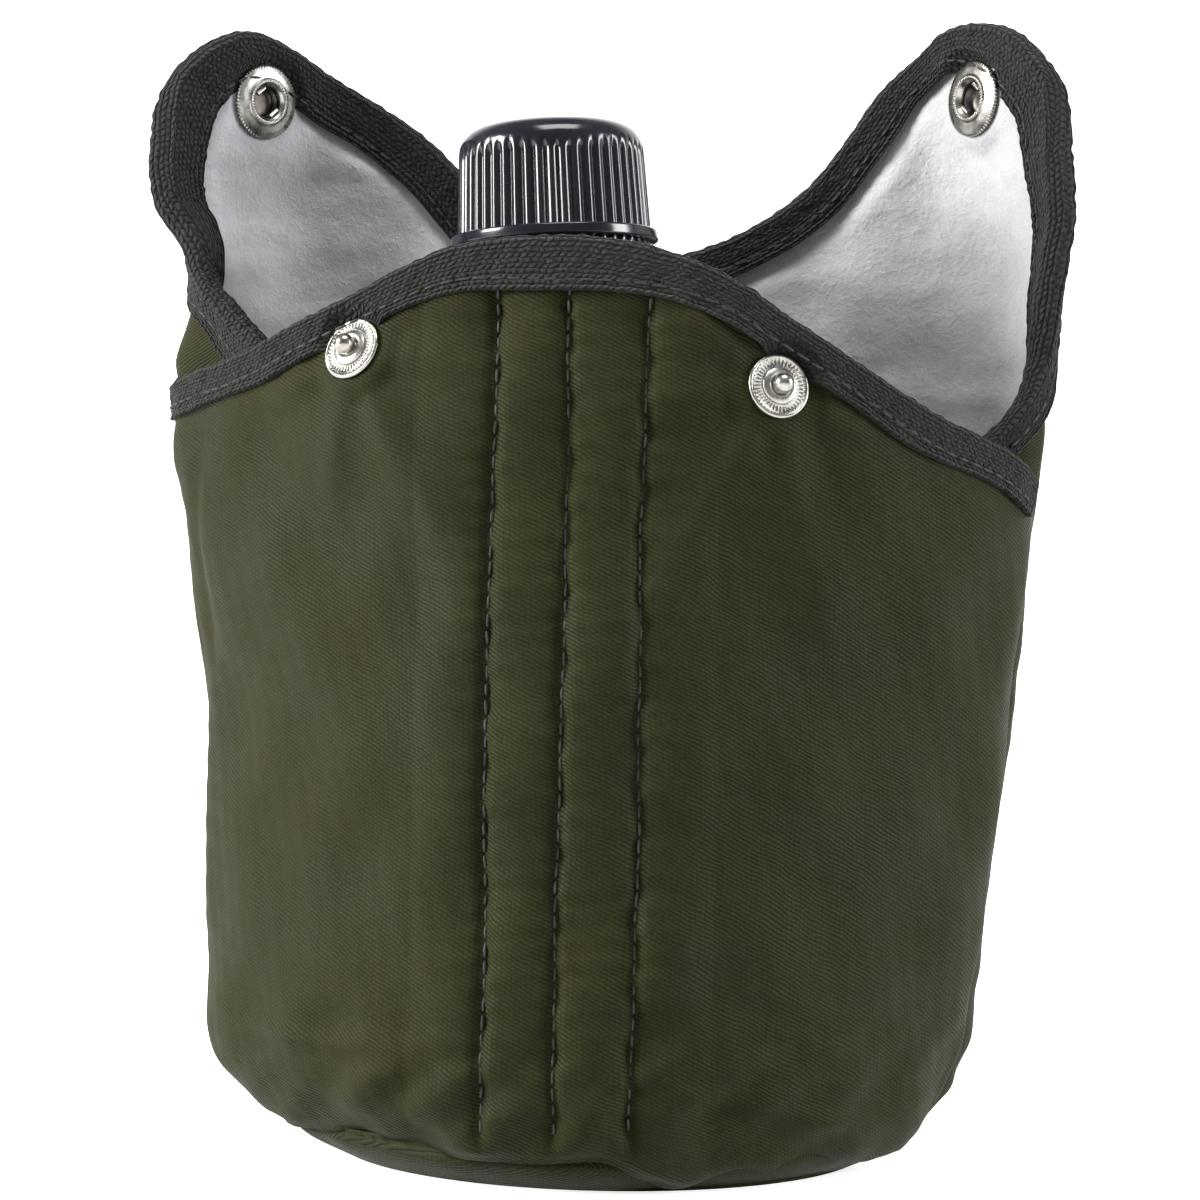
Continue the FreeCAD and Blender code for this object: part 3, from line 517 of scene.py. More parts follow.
def make_thread():
    thread = Shader("sewing_thread", Roughness=0.7, Sheen_Weight=0.03)
    twist = thread.noise(1800.0, 2.0)
    thread.colour(twist, (0.3, (0.003, 0.0035, 0.0025)), (0.7, (0.011, 0.012, 0.008)))
    return thread.finish(twist.spread(0.45, 0.7), twist, 0.5, 0.0002)


def make_nickel():
    metal = Shader("nickel_plate", Metallic=1.0, Roughness=0.24)
    wear, scratches = metal.noise(420.0, 4.0, 0.65), metal.noise(1600.0, 3.0, 0.6)
    metal.colour(wear, (0.3, (0.28, 0.27, 0.245)), (0.62, (0.46, 0.445, 0.41)), (0.85, (0.56, 0.55, 0.515)))
    return metal.finish(wear.spread(0.23, 0.38, 0.3, 0.75), scratches, 0.06, 0.00008)


# a dark metal finish; where it lines the socket wells, its darkness is painted shade inside the hole
def make_dark_metal_and_well_shade():
    metal = Shader("dark_metal", Metallic=1.0, Roughness=0.4)
    wear = metal.noise(500.0, 3.0, 0.6)
    metal.colour(wear, (0.3, (0.035, 0.032, 0.028)), (0.75, (0.13, 0.12, 0.105)))
    return metal.finish(wear.spread(0.3, 0.5), wear, 0.2, 0.0001)


def make_plastic(name, low, high, roughness, grain, strength):
    plastic = Shader(name, Roughness=roughness, Specular_IOR_Level=0.55)
    wear, speck = plastic.noise(150.0, 4.0, 0.6), plastic.noise(grain, 3.0, 0.55)
    plastic.colour(wear, (0.3, low), (0.75, high))
    return plastic.finish(wear.spread(roughness * 0.8, roughness * 1.35, 0.3, 0.75), speck, strength, 0.0002)


# the slots of the finishes that aren't slots themselves
LOOKS = {
    "nylon": make_nylon(), "felt": make_felt(), "webbing": make_tape(), "thread": make_thread(),
    "nickel": make_nickel(), "dark_metal": make_dark_metal_and_well_shade()}
for plastic_name, *plastic_look in (
        ("bottle_plastic", (0.018, 0.019, 0.021), (0.035, 0.036, 0.040), 0.42, 1100.0, 0.14),
        ("cap_plastic", (0.007, 0.008, 0.012), (0.013, 0.014, 0.021), 0.17, 900.0, 0.03),
        ("gasket_rubber", (0.16, 0.16, 0.15), (0.24, 0.24, 0.23), 0.7, 1400.0, 0.25)):
    LOOKS[plastic_name] = make_plastic(plastic_name, *plastic_look)


def dress(item, look):
    item.data.materials.clear()
    item.data.materials.append(LOOKS[look])
    return item


def cover_piece(name, shape, look, replaced):
    """A piece of the cover, made of points, faces and flat coordinates, that stands for a CAD node."""
    item = dress(mesh_object(name, *shape), look)
    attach(item, "cover")
    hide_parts(replaced)


# ------------------------------------------------------------ ear folds

FOLDS = {
    -1: {"name": "left", "root_start": (-86.0, 0, 148.0), "root_way": (-0.47, 0, 0.883),
         "foot": (-63.2, 21.9, 191.7), "line": (0.582, 0.593, 0.556),
         "socket": (-67.4, 15.7, 202.7), "azimuth": 49.0, "rise": -5.2},
    1: {"name": "right", "root_start": (89.0, 0, 147.0), "root_way": (0.455, 0, 0.89),
        "foot": (66.7, 20.2, 192.2), "line": (0.504, -0.630, -0.591),
        "socket": (71.8, 13.6, 203.6), "azimuth": -51.5, "rise": -0.2}}
# the width of a band at each ear's root, and half of the one at its tip
ROOT_BAND, TIP_BAND = 14.0, 5.0


def tip_start_and_way(side):
    """Where an ear's tip piece begins, and the way from there to its socket, square to the fold's line."""
    foot, line, socket = (np.array(FOLDS[side][key]) for key in ("foot", "line", "socket"))
    line = unit(line)
    out = socket - foot
    out = unit(out - line * (out @ line))
    return foot - out * TIP_BAND, out


def place_ear_mesh(kind, look, points, faces, uv, replaced):
    """Split a mesh that runs over the back and both ears where its folds begin, and make a piece of each
    part.
    """
    faces = np.asarray(faces)
    taken = np.zeros(len(faces), bool)

    def piece(part, keep):
        item = dress(mesh_object(part + "_" + kind, *subset(points, faces, uv, keep)), look)
        if replaced:
            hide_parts(part + "_" + replaced)
        return item

    for side, fold in FOLDS.items():
        flap, tip = fold["name"] + "_flap", fold["name"] + "_tip"
        root_start, root_way = np.array(fold["root_start"]), unit(fold["root_way"])
        tip_start, tip_way = tip_start_and_way(side)
        past_root = ((points - root_start) @ root_way > 1e-6) & (points[:, 0] * side > 2.0)
        past_tip = ((points - tip_start) @ tip_way > 1e-6) & past_root
        in_tip = past_tip[faces].any(axis=1)
        in_root = past_root[faces].any(axis=1) & ~in_tip
        taken |= in_tip | in_root
        if in_root.any():
            stop = root_start + root_way * ROOT_BAND
            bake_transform(piece(flap, in_root), "cover", flap, start=root_start * MM, end=stop * MM)
        if in_tip.any():
            stop = tip_start + tip_way * 2 * TIP_BAND
            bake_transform(piece(tip, in_tip), flap, tip, start=tip_start * MM, end=stop * MM)
    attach(piece("back", ~taken), "cover")


# ------------------------------------------------------------ the front panel

SEAM_Z = 7.8
# the front panel's top edge: x and height
FRONT_EDGE = np.array((
    (-100, 144.6), (-84, 145.2), (-79.5, 145.8), (-73.2, 147.2), (-66.6, 148.6), (-58.9, 151),
    (-49.3, 155.2), (-39.1, 159.4), (-29.2, 164.3), (-21.6, 167.4), (-9, 169.2), (-1, 169.5),
    (9.7, 168.8), (20.2, 166.4), (31.9, 161.3), (38.2, 156.8), (46.1, 152.0), (54, 147.1),
    (62, 142.2), (67.6, 139.2), (73.2, 137.0), (77.5, 135.2), (81.4, 132.8), (84.3, 129.4),
    (88, 124.5), (100, 117)), float)
QUILT_LINES = (-12.0, 1.3, 15.0)


def seam_level(x):
    """The height of the front panel's lower seam, which slips under the cover right of the quilting."""
    return SEAM_Z - 6.2 * smooth(x, 9.0, 25.0) * smooth(x, 67.0, 57.0)


def front_top(share):
    """The height of the top edge in each column: the column is a share of the way to the side seam."""
    z = np.full_like(share, 150.0)
    for _ in range(25):
        x = FRONT.flat(share * front_reach(z), z)[..., 0]
        z = 0.5 * z + 0.5 * hermite(x, FRONT_EDGE[:, 0], FRONT_EDGE[:, 1])
    return z


def base_frame(node_name, direction):
    """The middle of a turned CAD part's foot, in millimetres, given the way its axis points."""
    direction = unit(direction)
    points = np.array([v.co for v in frame["nodes"][node_name].data.vertices], float) / MM
    along = points @ direction
    ring = points[along < along.min() + 0.05]
    return (ring.min(0) + ring.max(0)) / 2, direction


STUDS = {-1: base_frame("left_snap_stud", (-0.463, -0.816, 0.347)),
         1: base_frame("right_snap_stud", (0.462, -0.864, 0.201))}
# the folds that each stud pulls in the nylon: angle in the panel, strength, length
PULLS = {-1: ((38, 0.9, 30), (-8, 0.5, 22), (-62, 0.8, 34), (-100, 0.6, 40), (205, 0.7, 26), (160, 0.35, 20)),
         1: ((140, 0.9, 26), (188, 0.5, 22), (242, 0.8, 36), (282, 0.6, 34), (-25, 0.7, 24), (20, 0.35, 18))}


def quilt_sway(z, number):
    """The slow and the quick wave by which a quilting line wanders sideways, by height."""
    return 0.35 * np.sin(z / 17.0 + number * 2.1), 0.15 * np.sin(z / 5.3 + number)


def quilt_relief(x, z):
    """Pillows between the quilting lines, and grooves with puckers along them."""
    edges = (QUILT_LINES[0] - 13.5,) + QUILT_LINES + (QUILT_LINES[-1] + 13.5,)
    quilt = np.zeros_like(x)
    for near, far in zip(edges[:-1], edges[1:]):
        t = np.clip((x - near) / (far - near), 0, 1)
        quilt += np.sin(math.pi * t) ** 0.8 * np.where((x > near) & (x < far), 0.75, 0)
    for number, line in enumerate(QUILT_LINES):
        slow, quick = quilt_sway(z, number)
        drift = x - line - slow - quick
        quilt -= 0.95 * bell(drift, 1.15) + 0.35 * bell(drift, 3.4)
        side_phase = np.where(drift > 0, 0.0, 1.9)
        pucker = np.sin(z * math.tau / 4.6 + number * 1.7 + side_phase + 1.3 * np.sin(z / 9.0 + number))
        quilt += 0.27 * pucker * np.exp(-np.abs(drift) / 3.2) * smooth(np.abs(drift), 0.2, 1.4)
        longer = np.sin(z * math.tau / 11.5 + number * 2.6 + side_phase * 2 + drift * 0.25)
        quilt += 0.32 * longer * np.exp(-np.abs(drift) / 7.0)
    return quilt


def stud_pull(side, x, z):
    """The dent round a stud and the folds that run out from it."""
    foot, _ = STUDS[side]
    dx, dz = x - foot[0], z - foot[2]
    pull = -0.9 * bell(np.hypot(dx, dz), 8.5)
    for angle, strength, length in PULLS[side]:
        c, s = math.cos(math.radians(angle)), math.sin(math.radians(angle))
        along, off = dx * c + dz * s, -dx * s + dz * c
        width = 1.7 + 0.07 * np.maximum(along, 0)
        shape = bell(off, width) - 0.55 * bell(off - 2.1 * width, 1.2 * width)
        pull += strength * shape * smooth(along, 5, 11) * np.exp(-np.maximum(along, 0) / length)
    return pull * 1.5


def low_creases(a, z, x):
    """Bulges and two creases near the bottom, and the fold that runs down the left side."""
    corner = smooth(np.abs(x - 3.0), 66.0, 34.0)
    bulges = 0.7 * waves(a, z * 1.9, 13, (26.0, 16.0)) + 0.2 * waves(a, z * 1.4, 14, (9.0,))
    relief = smooth(z, 46, 12) * (0.25 + 0.75 * corner) * bulges
    crease = z - (24.0 + 0.10 * (x + 70) + 2.5 * np.sin(x / 19.0))
    relief += 0.75 * bell(crease, 2.0) * smooth(x, -70, -55) * smooth(x, -18, -34)
    crease = z - (18.5 - 0.16 * (x - 20) + 2.0 * np.sin(x / 13.0))
    relief += 0.6 * bell(crease, 1.9) * smooth(x, 14, 24) * smooth(x, 68, 50)
    side_fold = x + 71.5 + 0.03 * (z - 100) + 1.2 * np.sin(z / 15.0)
    return relief - 0.8 * bell(side_fold, 1.6) * smooth(z, 84, 104) * smooth(z, 142, 128)


def front_relief(a, z, x, top):
    """How far the front panel's cloth stands out of its plain surface."""
    relief = 1.15 * waves(a, z * 0.8, 11, (74.0, 46.0)) + 0.42 * waves(a, z * 0.7, 12, (26.0, 17.0))
    relief += 0.05 * waves(a, z, 15, (6.0,))
    seam = seam_level(x)
    relief += quilt_relief(x, z) * smooth(z, seam, seam + 5)
    relief += stud_pull(-1, x, z) + stud_pull(1, x, z) + low_creases(a, z, x)
    relief *= smooth(top - z, 3.0, 13.0)
    return relief - 0.9 * smooth(z, seam + 1.2, seam - 1.4)


def around(points, foot, way):
    """The height of points over the plane of a part's foot, and their distance from its axis."""
    away = points - foot
    height = away @ way
    return height, np.sqrt(np.maximum((away ** 2).sum(-1) - height ** 2, 0))


# the rim of the hollow that the cloth keeps under a socket
HOLLOW = (4.9, 6.4)


def press_flat(points, foot, way, near, far, sink=0.0, hollow=0.0):
    """Move cloth near a metal part onto the plane of the part's foot, with a hollow under its middle."""
    height, radius = around(points, foot, way)
    share = (1 - smooth(radius, near, far)) * (np.abs(height) < 9)
    sink = sink + hollow * (1 - smooth(radius, *HOLLOW))
    return points - way * ((height + sink) * share)[..., None]


def front_sheets(columns, rows):
    """A grid over the front in flat coordinates, and each column's top edge."""
    share = np.linspace(-1, 1, columns)
    top = front_top(share)
    ease = np.linspace(0, 1, rows)[:, None]
    low = np.maximum(seam_level(FRONT.flat(share * front_reach(8.0), 8.0)[..., 0]) - 1.6, 0.35)
    z = low[None, :] + (top - 0.9 - low)[None, :] * ease
    a = share[None, :] * front_reach(z)
    return a, z, np.broadcast_to(top, z.shape)


def make_front_panel():
    a, z, top = front_sheets(300, 250)
    base = FRONT.flat(a, z)
    normal = FRONT.normal(a, z)
    relief = front_relief(a, z, base[..., 0], top)
    seam = front_reach(z) - np.abs(a)
    relief = relief * smooth(seam, 0, 5) - 0.5 * bell(seam, 1.2)
    outer = base + normal * relief[..., None]
    for foot, way in STUDS.values():
        outer = press_flat(outer, foot, way, 5.9, 10.0, 0.1)
    inner = outer - normal * NYLON
    inner[0:2] -= normal[0:2] * 0.8
    cover_piece("front_panel", slab(outer, inner, np.stack((a, z), axis=-1)), "nylon", "front_shell")


def make_front_felt():
    a, z, top = front_sheets(120, 90)
    base, normal = FRONT.flat(a, z), FRONT.normal(a, z)
    relief = front_relief(a, z, base[..., 0], top) * 0.6 * smooth(front_reach(z) - np.abs(a), 0, 6)
    fuzz = 0.12 * waves(a, z, 21, (7.0, 4.0))
    outer = base + normal * (np.minimum(relief, relief / 0.6) - NYLON - 1.4)[..., None]
    inner = base + normal * (relief - CLOTH - 0.5 + fuzz)[..., None]
    for foot, way in STUDS.values():
        near = 1 - smooth(around(base, foot, way)[1], 6.5, 12.0)
        outer, inner = (layer - way * (near * 1.6)[..., None] for layer in (outer, inner))
    cover_piece("front_felt", slab(outer, inner, np.stack((a, z), axis=-1)), "felt", "front_lining")


def capsule(start, stop, radius):
    """A stitch: a short rounded thread between two points."""
    start, stop = np.asarray(start, float), np.asarray(stop, float)
    way = unit(stop - start)
    helper = (0.0, 0.0, 1.0) if abs(way[2]) < 0.8 else (1.0, 0.0, 0.0)
    across = unit(np.cross(way, helper))
    other = np.cross(way, across)
    rings = ((0.0, 0.25), (0.12, 0.8), (0.35, 1.0), (0.65, 1.0), (0.88, 0.8), (1.0, 0.25))
    sides = 6
    turn = np.arange(sides) * math.tau / sides
    circle = np.cos(turn)[:, None] * across + np.sin(turn)[:, None] * other
    points = np.concatenate([start + (stop - start) * t + circle * radius * r for t, r in rings])
    faces = grid_faces(len(rings), sides, closed=True)[:, ::-1].tolist()
    last = len(points) - sides
    for ends in ([0, 1, 2, 3], [0, 3, 4, 5]):
        faces += [ends, [last + k for k in reversed(ends)]]
    return points, faces, np.zeros((len(points), 2))


def stitch_row(points, normals, pitch, length, radius):
    """Stitches along a line of points, each one standing a little out of the cloth."""
    starts = np.arange(pitch / 2, run_along(points)[-1] - length, pitch)
    begin, middle, end = (by_length(points, starts + length * share) for share in (0, 0.5, 1))
    ways = unit(by_length(points + normals, starts + length * 0.5) - middle)
    jitter = rng.uniform(-0.08, 0.08, (len(starts), 3))
    return [capsule(b + j, e - n * 0.05 - j, radius) for b, e, n, j in zip(begin, end, ways, jitter)]


def thread_piece(name, parts):
    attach(dress(mesh_object(name, *join_parts(parts)), "thread"), "cover")


def make_quilting():
    parts = []
    for number, line in enumerate(QUILT_LINES):
        z = np.arange(SEAM_Z + 2.5, 163.5, 0.8)
        slow, quick = quilt_sway(z, number)
        x = line + slow + quick
        a = x - hermite(z, SECTIONS[:, 0], SECTIONS[:, 2])
        for _ in range(6):
            a = a + (x - FRONT.flat(a, z)[:, 0])
        top = np.interp(x, FRONT_EDGE[:, 0], FRONT_EDGE[:, 1])
        normal = FRONT.normal(a, z)
        points = FRONT.flat(a, z) + normal * (front_relief(a, z, x, top) + 0.12)[:, None]
        parts += stitch_row(points, normal, 3.3, 2.7, 0.36)
    thread_piece("quilting_stitches", parts)


# ------------------------------------------------------------ tape

# the tape's width on each face as its section is drawn, and where its flat faces begin
OUTSIDE, INSIDE, FOLD = 10.0, 9.4, 0.6
# the pitch of its yarn rows, and the middle of the cloth under it
ROW, MID_CLOTH = 1.15, -CLOTH / 2


def tape_profile():
    """The tape's section over an edge: distance into the cloth and height over its outer face."""
    bend = np.linspace(math.radians(90), math.radians(270), 25)
    half = CLOTH / 2 + TAPE
    outline = [(p, TAPE) for p in np.arange(OUTSIDE, FOLD, -0.21)]
    outline += [(0.5 + 1.45 * math.cos(t), MID_CLOTH + half * math.sin(t)) for t in bend]
    outline += [(p, -CLOTH - TAPE) for p in np.arange(FOLD, INSIDE, 0.21)]
    back = [(INSIDE, -CLOTH - 0.05)] + [(p, -CLOTH - 0.05) for p in np.arange(INSIDE - 1, 1.0, -1.4)]
    back += [(0.35, -CLOTH * 0.8), (0.2, MID_CLOTH), (0.35, -CLOTH * 0.2)]
    back += [(p, 0.05) for p in np.arange(1.2, OUTSIDE, 1.4)] + [(OUTSIDE, 0.05)]
    return np.array(outline), np.array(back)


def inward_ways(path):
    """At each point of a path in flat coordinates, the way from the edge into the cloth."""
    tangent = unit(np.gradient(path, axis=0))
    kernel = np.ones(7) / 7
    padded = np.pad(tangent, ((3, 3), (0, 0)), mode="edge")
    tangent = unit(np.column_stack([np.convolve(padded[:, k], kernel, mode="valid") for k in (0, 1)]))
    return np.column_stack((tangent[:, 1], -tangent[:, 0]))


def woven_lift(along, run, seed):
    """The relief of the tape's yarns over its length and its width."""
    along, run = along[:, None], run[None, :]
    yarn = np.abs(np.sin(math.pi * run / ROW)) ** 0.6
    knots = np.sin(along * math.tau / 3.1 + math.pi * np.floor(run / ROW))
    lift = 0.19 * yarn * (0.72 + 0.28 * knots)
    lift = lift + 0.10 * waves(along + 0 * run, 0 * along + run, seed, (5.0, 3.2))
    selvedge = (run < ROW) | (run > run[0, -1] - ROW)
    return lift + 0.22 * yarn * selvedge


def press_tape(points, face, foot, way, radius, leg):
    """Press one leg of the tape, outer or inner, onto the foot of a metal part."""
    above, ring = around(points, foot, way)
    mine = ((face > MID_CLOTH) == (leg > 0)) & (above > -0.15) & (above < 9)
    sink = 0.15 + (1.95 if leg < 0 else 0.0) * (1 - smooth(ring, *HOLLOW))
    return points - way * ((above + sink) * mine * (1 - smooth(ring, radius, radius + 2.6)))[..., None]


def make_tape_band(surface, out, path, widths, relief, seed, presses):
    """Tape folded over a cloth edge, with its woven rows as relief. The path is in flat coordinates."""
    inward, along = inward_ways(path), run_along(path)
    outline, back = tape_profile()
    run = run_along(outline)
    tangent = np.gradient(outline, axis=0)
    normal = unit(np.column_stack((tangent[:, 1], -tangent[:, 0])))
    shape = outline[None, :, :] + normal[None, :, :] * woven_lift(along, run, seed + 5)[..., None]
    shape = np.concatenate((shape, np.broadcast_to(back[None, :, :], (len(path), len(back), 2))), axis=1)
    depth, face = shape[..., 0], shape[..., 1]
    outer_widths, inner_widths = widths
    stretch = np.where(face > MID_CLOTH, outer_widths[:, None] / OUTSIDE, inner_widths[:, None] / INSIDE)
    depth = np.where(depth > FOLD, FOLD + (depth - FOLD) * stretch, depth)
    wander = 0.25 * waves(along, 0 * along, seed + 1, (31.0, 17.0))
    depth = depth + (wander[:, None] * smooth(depth, 2, 8))
    flat_a = path[:, 0, None] + inward[:, 0, None] * depth
    flat_z = path[:, 1, None] + inward[:, 1, None] * depth
    height = face + 0.16 * waves(along, 0 * along, seed + 2, (22.0, 9.0))[:, None]
    height = height + relief(flat_a, flat_z)
    points = surface.flat(flat_a, flat_z) + out * surface.normal(flat_a, flat_z) * height[..., None]
    for press in presses:
        points = press_tape(points, face, *press)
    rows, columns = points.shape[:2]
    faces = grid_faces(rows, columns, closed=True, flip=out > 0).tolist()
    for start, turned_round in ((0, out < 0), ((rows - 1) * columns, out > 0)):
        faces.append([start + k for k in range(columns)][::-1 if turned_round else 1])
    lengths = np.concatenate((run, np.linspace(run[-1], 0, len(back))))
    flat = np.stack(np.broadcast_arrays(along[:, None], lengths[None, :]), axis=-1)
    return points.reshape(-1, 3), faces, flat.reshape(-1, 2)


def tape_stitches(surface, out, path, widths, relief):
    """A row of stitches near the tape's inner border on each of its faces."""
    parts, inward = [], inward_ways(path)
    for face, width in zip((1, -1), widths):
        depth = width - 1.9
        a, z = path[:, 0] + inward[:, 0] * depth, path[:, 1] + inward[:, 1] * depth
        normal = out * surface.normal(a, z)
        height = (TAPE + 0.1) if face > 0 else (-CLOTH - TAPE - 0.1)
        points = surface.flat(a, z) + normal * (height + relief(a, z))[:, None]
        parts += stitch_row(points, normal * face, 3.2, 2.5, 0.27)
    return parts


def front_path():
    share = np.linspace(-0.995, 0.995, 160)
    z = front_top(share)
    return spline(np.column_stack((share * front_reach(z), z))[::4], 0.5)


def make_front_binding():
    path = front_path()
    x = FRONT.flat(path[:, 0], path[:, 1])[:, 0]
    widths = 6.1 + 3.0 * bell(x, 24.0) + 0.9 * smooth(x, 40, 70), np.full(len(path), INSIDE)

    def relief(a, z):
        return 0.3 * waves(a, z * 0.8, 11, (74.0, 46.0))

    presses = [(*stud, 6.0, 1) for stud in STUDS.values()]
    tape = make_tape_band(FRONT, 1, path, widths, relief, 30, presses)
    cover_piece("front_tape", tape, "webbing", "front_binding")
    thread_piece("front_tape_stitches", tape_stitches(FRONT, 1, path, widths, relief))


# ------------------------------------------------------------ the back and the ears

def tuck_reach(side, z):
    """The length from the back's middle to the ear's front edge, tuck and all."""
    rows = TUCK[side]
    low = rows[0, 0]
    reach = np.interp(z, rows[:, 0], rows[:, 1]) * smooth(z, low - 20, low)
    return back_reach(side, z) + reach


def edge_paths():
    """The tape's way round both ears in flat coordinates, from the left front to the right front."""
    halves = {}
    for side in (-1, 1):
        low = TUCK[side][0, 0] + 4.0
        upright = np.arange(low, EAR_TOP[side][0][1] - 2.5, 6.0)
        points = [(side * float(tuck_reach(side, z)), z) for z in upright]
        halves[side] = points + [(back_length_at(side, x, z), z) for x, z in EAR_TOP[side]]
    return halves


EDGES = edge_paths()
WHOLE_EDGE = spline(EDGES[-1] + [(0.0, 172.7)] + EDGES[1][::-1], 0.5)


def ear_tops(share):
    """How high the cloth reaches in each column, a share of the way from the middle to the end."""
    a, z = WHOLE_EDGE[:, 0], WHOLE_EDGE[:, 1]
    columns = np.where(a < 0, a / tuck_reach(-1, z), a / tuck_reach(1, z))
    first = np.argmax((a < 0) & (z > EAR_TOP[-1][0][1] - 1.0))
    last = len(a) - 1 - np.argmax((a > 0)[::-1] & (z > EAR_TOP[1][0][1] - 1.0)[::-1])
    piece = slice(first, last + 1)
    xs, ys = columns[piece], z[piece]
    rising = np.maximum.accumulate(xs) + np.arange(len(xs)) * 1e-9
    return np.interp(share, rising, ys)


def edge_distance(a, z):
    """How far each place in the back and the ears lies from their taped edge, along the cloth."""
    flat = np.stack((a, z), axis=-1).reshape(-1, 1, 2)
    track = WHOLE_EDGE[::4]
    parts = [np.hypot(*(part - track).transpose(2, 0, 1)).min(axis=1) for part in np.array_split(flat, 40)]
    return np.concatenate(parts).reshape(a.shape)


def back_relief(a, z, top):
    relief = 0.6 * waves(a, z, 41, (70.0, 44.0)) + 0.16 * waves(a, z, 42, (17.0, 11.0))
    relief += smooth(z, 40, 12) * 0.45 * waves(a, z * 1.8, 43, (24.0, 14.0))
    root = z - (150.5 - 0.055 * np.abs(a))
    relief -= 0.8 * bell(root, 3.0) * smooth(np.abs(a), 16, 34)
    relief *= smooth(top - z, 2.0, 10.0)
    relief -= 0.9 * smooth(z, SEAM_Z + 1.2, SEAM_Z - 1.4)
    return relief


def ear_relief(a, z):
    """A slow bend shared by the ear's cloth, lining and tape, so that they stay together."""
    above = smooth(z, 150, 185)
    return above * (0.55 * waves(a, z, 44, (62.0, 40.0)) + 0.18 * waves(a, z, 45, (20.0,)))


def back_sheets(columns, rows):
    """A grid over the back and both ears in flat coordinates, and each column's top edge."""
    share = np.linspace(-1, 1, columns)
    top = ear_tops(share)
    ease = np.linspace(0, 1, rows)[:, None]
    z = SEAM_Z - 1.6 + (top[None, :] + 0.7 - SEAM_Z) * ease
    left, right = tuck_reach(-1, z), tuck_reach(1, z)
    a = np.where(share[None, :] < 0, share[None, :] * left, share[None, :] * right)
    a = a - np.sign(a) * 1.3 * smooth(np.abs(share), 0.9, 1.0)[None, :] * smooth(z, 140, 150)
    return a, z, np.broadcast_to(top, z.shape)


def socket_seat(side):
    """The middle of a socket's foot and the way it faces."""
    fold = FOLDS[side]
    azimuth, rise = math.radians(fold["azimuth"]), math.radians(fold["rise"])
    look = (math.sin(azimuth) * math.cos(rise), -math.cos(azimuth) * math.cos(rise), math.sin(rise))
    return base_frame(fold["name"] + "_snap_socket", look)


SEATS = {side: socket_seat(side) for side in FOLDS}


def make_back_panel():
    a, z, top = back_sheets(320, 230)
    base, normal = BACK.flat(a, z), -BACK.normal(a, z)
    reach = np.where(a < 0, back_reach(-1, z), back_reach(1, z))
    seam = np.abs(np.abs(a) - reach)
    low = smooth(z, 146, 136)
    relief = back_relief(a, z, top) + ear_relief(a, z)
    relief = relief * (1 - low * (1 - smooth(seam, 0, 5))) - 0.5 * low * bell(seam, 1.2)
    outer = base + normal * relief[..., None]
    inner = outer - normal * NYLON
    for foot, look in SEATS.values():
        inner = press_flat(inner, foot, look, 4.8, 8.0, CLOTH - 0.8)
        outer = press_flat(outer, foot, look, 4.8, 8.0, CLOTH)
    place_ear_mesh("panel", "nylon", *slab(outer, inner, np.stack((a, z), axis=-1), flip=True), "shell")


def make_back_felt():
    a, z, top = back_sheets(230, 170)
    base, normal = BACK.flat(a, z), -BACK.normal(a, z)
    bend, bulge = ear_relief(a, z), back_relief(a, z, top)
    nap = 0.08 * waves(a, z, 46, (12.0, 7.0)) + 0.02 * waves(a, z, 47, (2.6,))
    dent = np.zeros_like(a)
    for fold in FOLDS.values():
        far = np.linalg.norm(base - normal * CLOTH - np.array(fold["socket"]), axis=-1)
        dent += 0.5 * bell(far - 8.5, 3.0)
    clear = smooth(edge_distance(a, z), 6.2, 12.0)
    pillow = (0.5 + 0.55 * waves(a, z, 48, (38.0, 24.0))) * smooth(z, 148, 160)
    outer_height = np.minimum(bulge * 0.5, bulge) + bend - NYLON - 0.1
    inner_height = bulge * 0.5 + bend - CLOTH + 0.9 * (1 - clear) - (pillow + nap - dent) * clear
    outer, inner = (base + normal * height[..., None] for height in (outer_height, inner_height))
    for foot, look in SEATS.values():
        inner = press_flat(inner, foot, look, 7.2, 11.0, 0.15, 1.95)
        outer = press_flat(outer, foot, look, 4.8, 8.0, 2.3)
    place_ear_mesh("felt", "felt", *slab(outer, inner, np.stack((a, z), axis=-1), flip=True), "lining")


def make_back_binding():
    a, z = WHOLE_EDGE.T
    outer_widths = 9.4 - 4.2 * smooth(z, 176, 160) * (np.abs(a) > 60)
    right, left = smooth(a, -12, 14) * smooth(a, 92, 66), smooth(a, -66, -50) * smooth(a, -12, -20)
    widths = outer_widths, 9.4 - 2.9 * right - 0.9 * left
    presses = [(*seat, 7.3, -1) for seat in SEATS.values()]
    points, faces, flat = make_tape_band(BACK, -1, WHOLE_EDGE, widths, ear_relief, 60, presses)
    quads = [face for face in faces if len(face) == 4]
    place_ear_mesh("tape", "webbing", points, quads, flat, "binding")
    stitches = join_parts(tape_stitches(BACK, -1, WHOLE_EDGE, widths, ear_relief))
    place_ear_mesh("tape_stitches", "thread", *stitches, None)


def full_outline(z, count):
    half = kidney_half(z)
    whole = np.concatenate((half, half[-2:0:-1] * np.array((-1, 1))))
    whole = np.concatenate((whole, whole[:1]))
    ring = by_length(whole, np.linspace(0, run_along(whole)[-1], count, endpoint=False))
    return ring + np.array((row_at(SECTIONS, z)[1], 0))


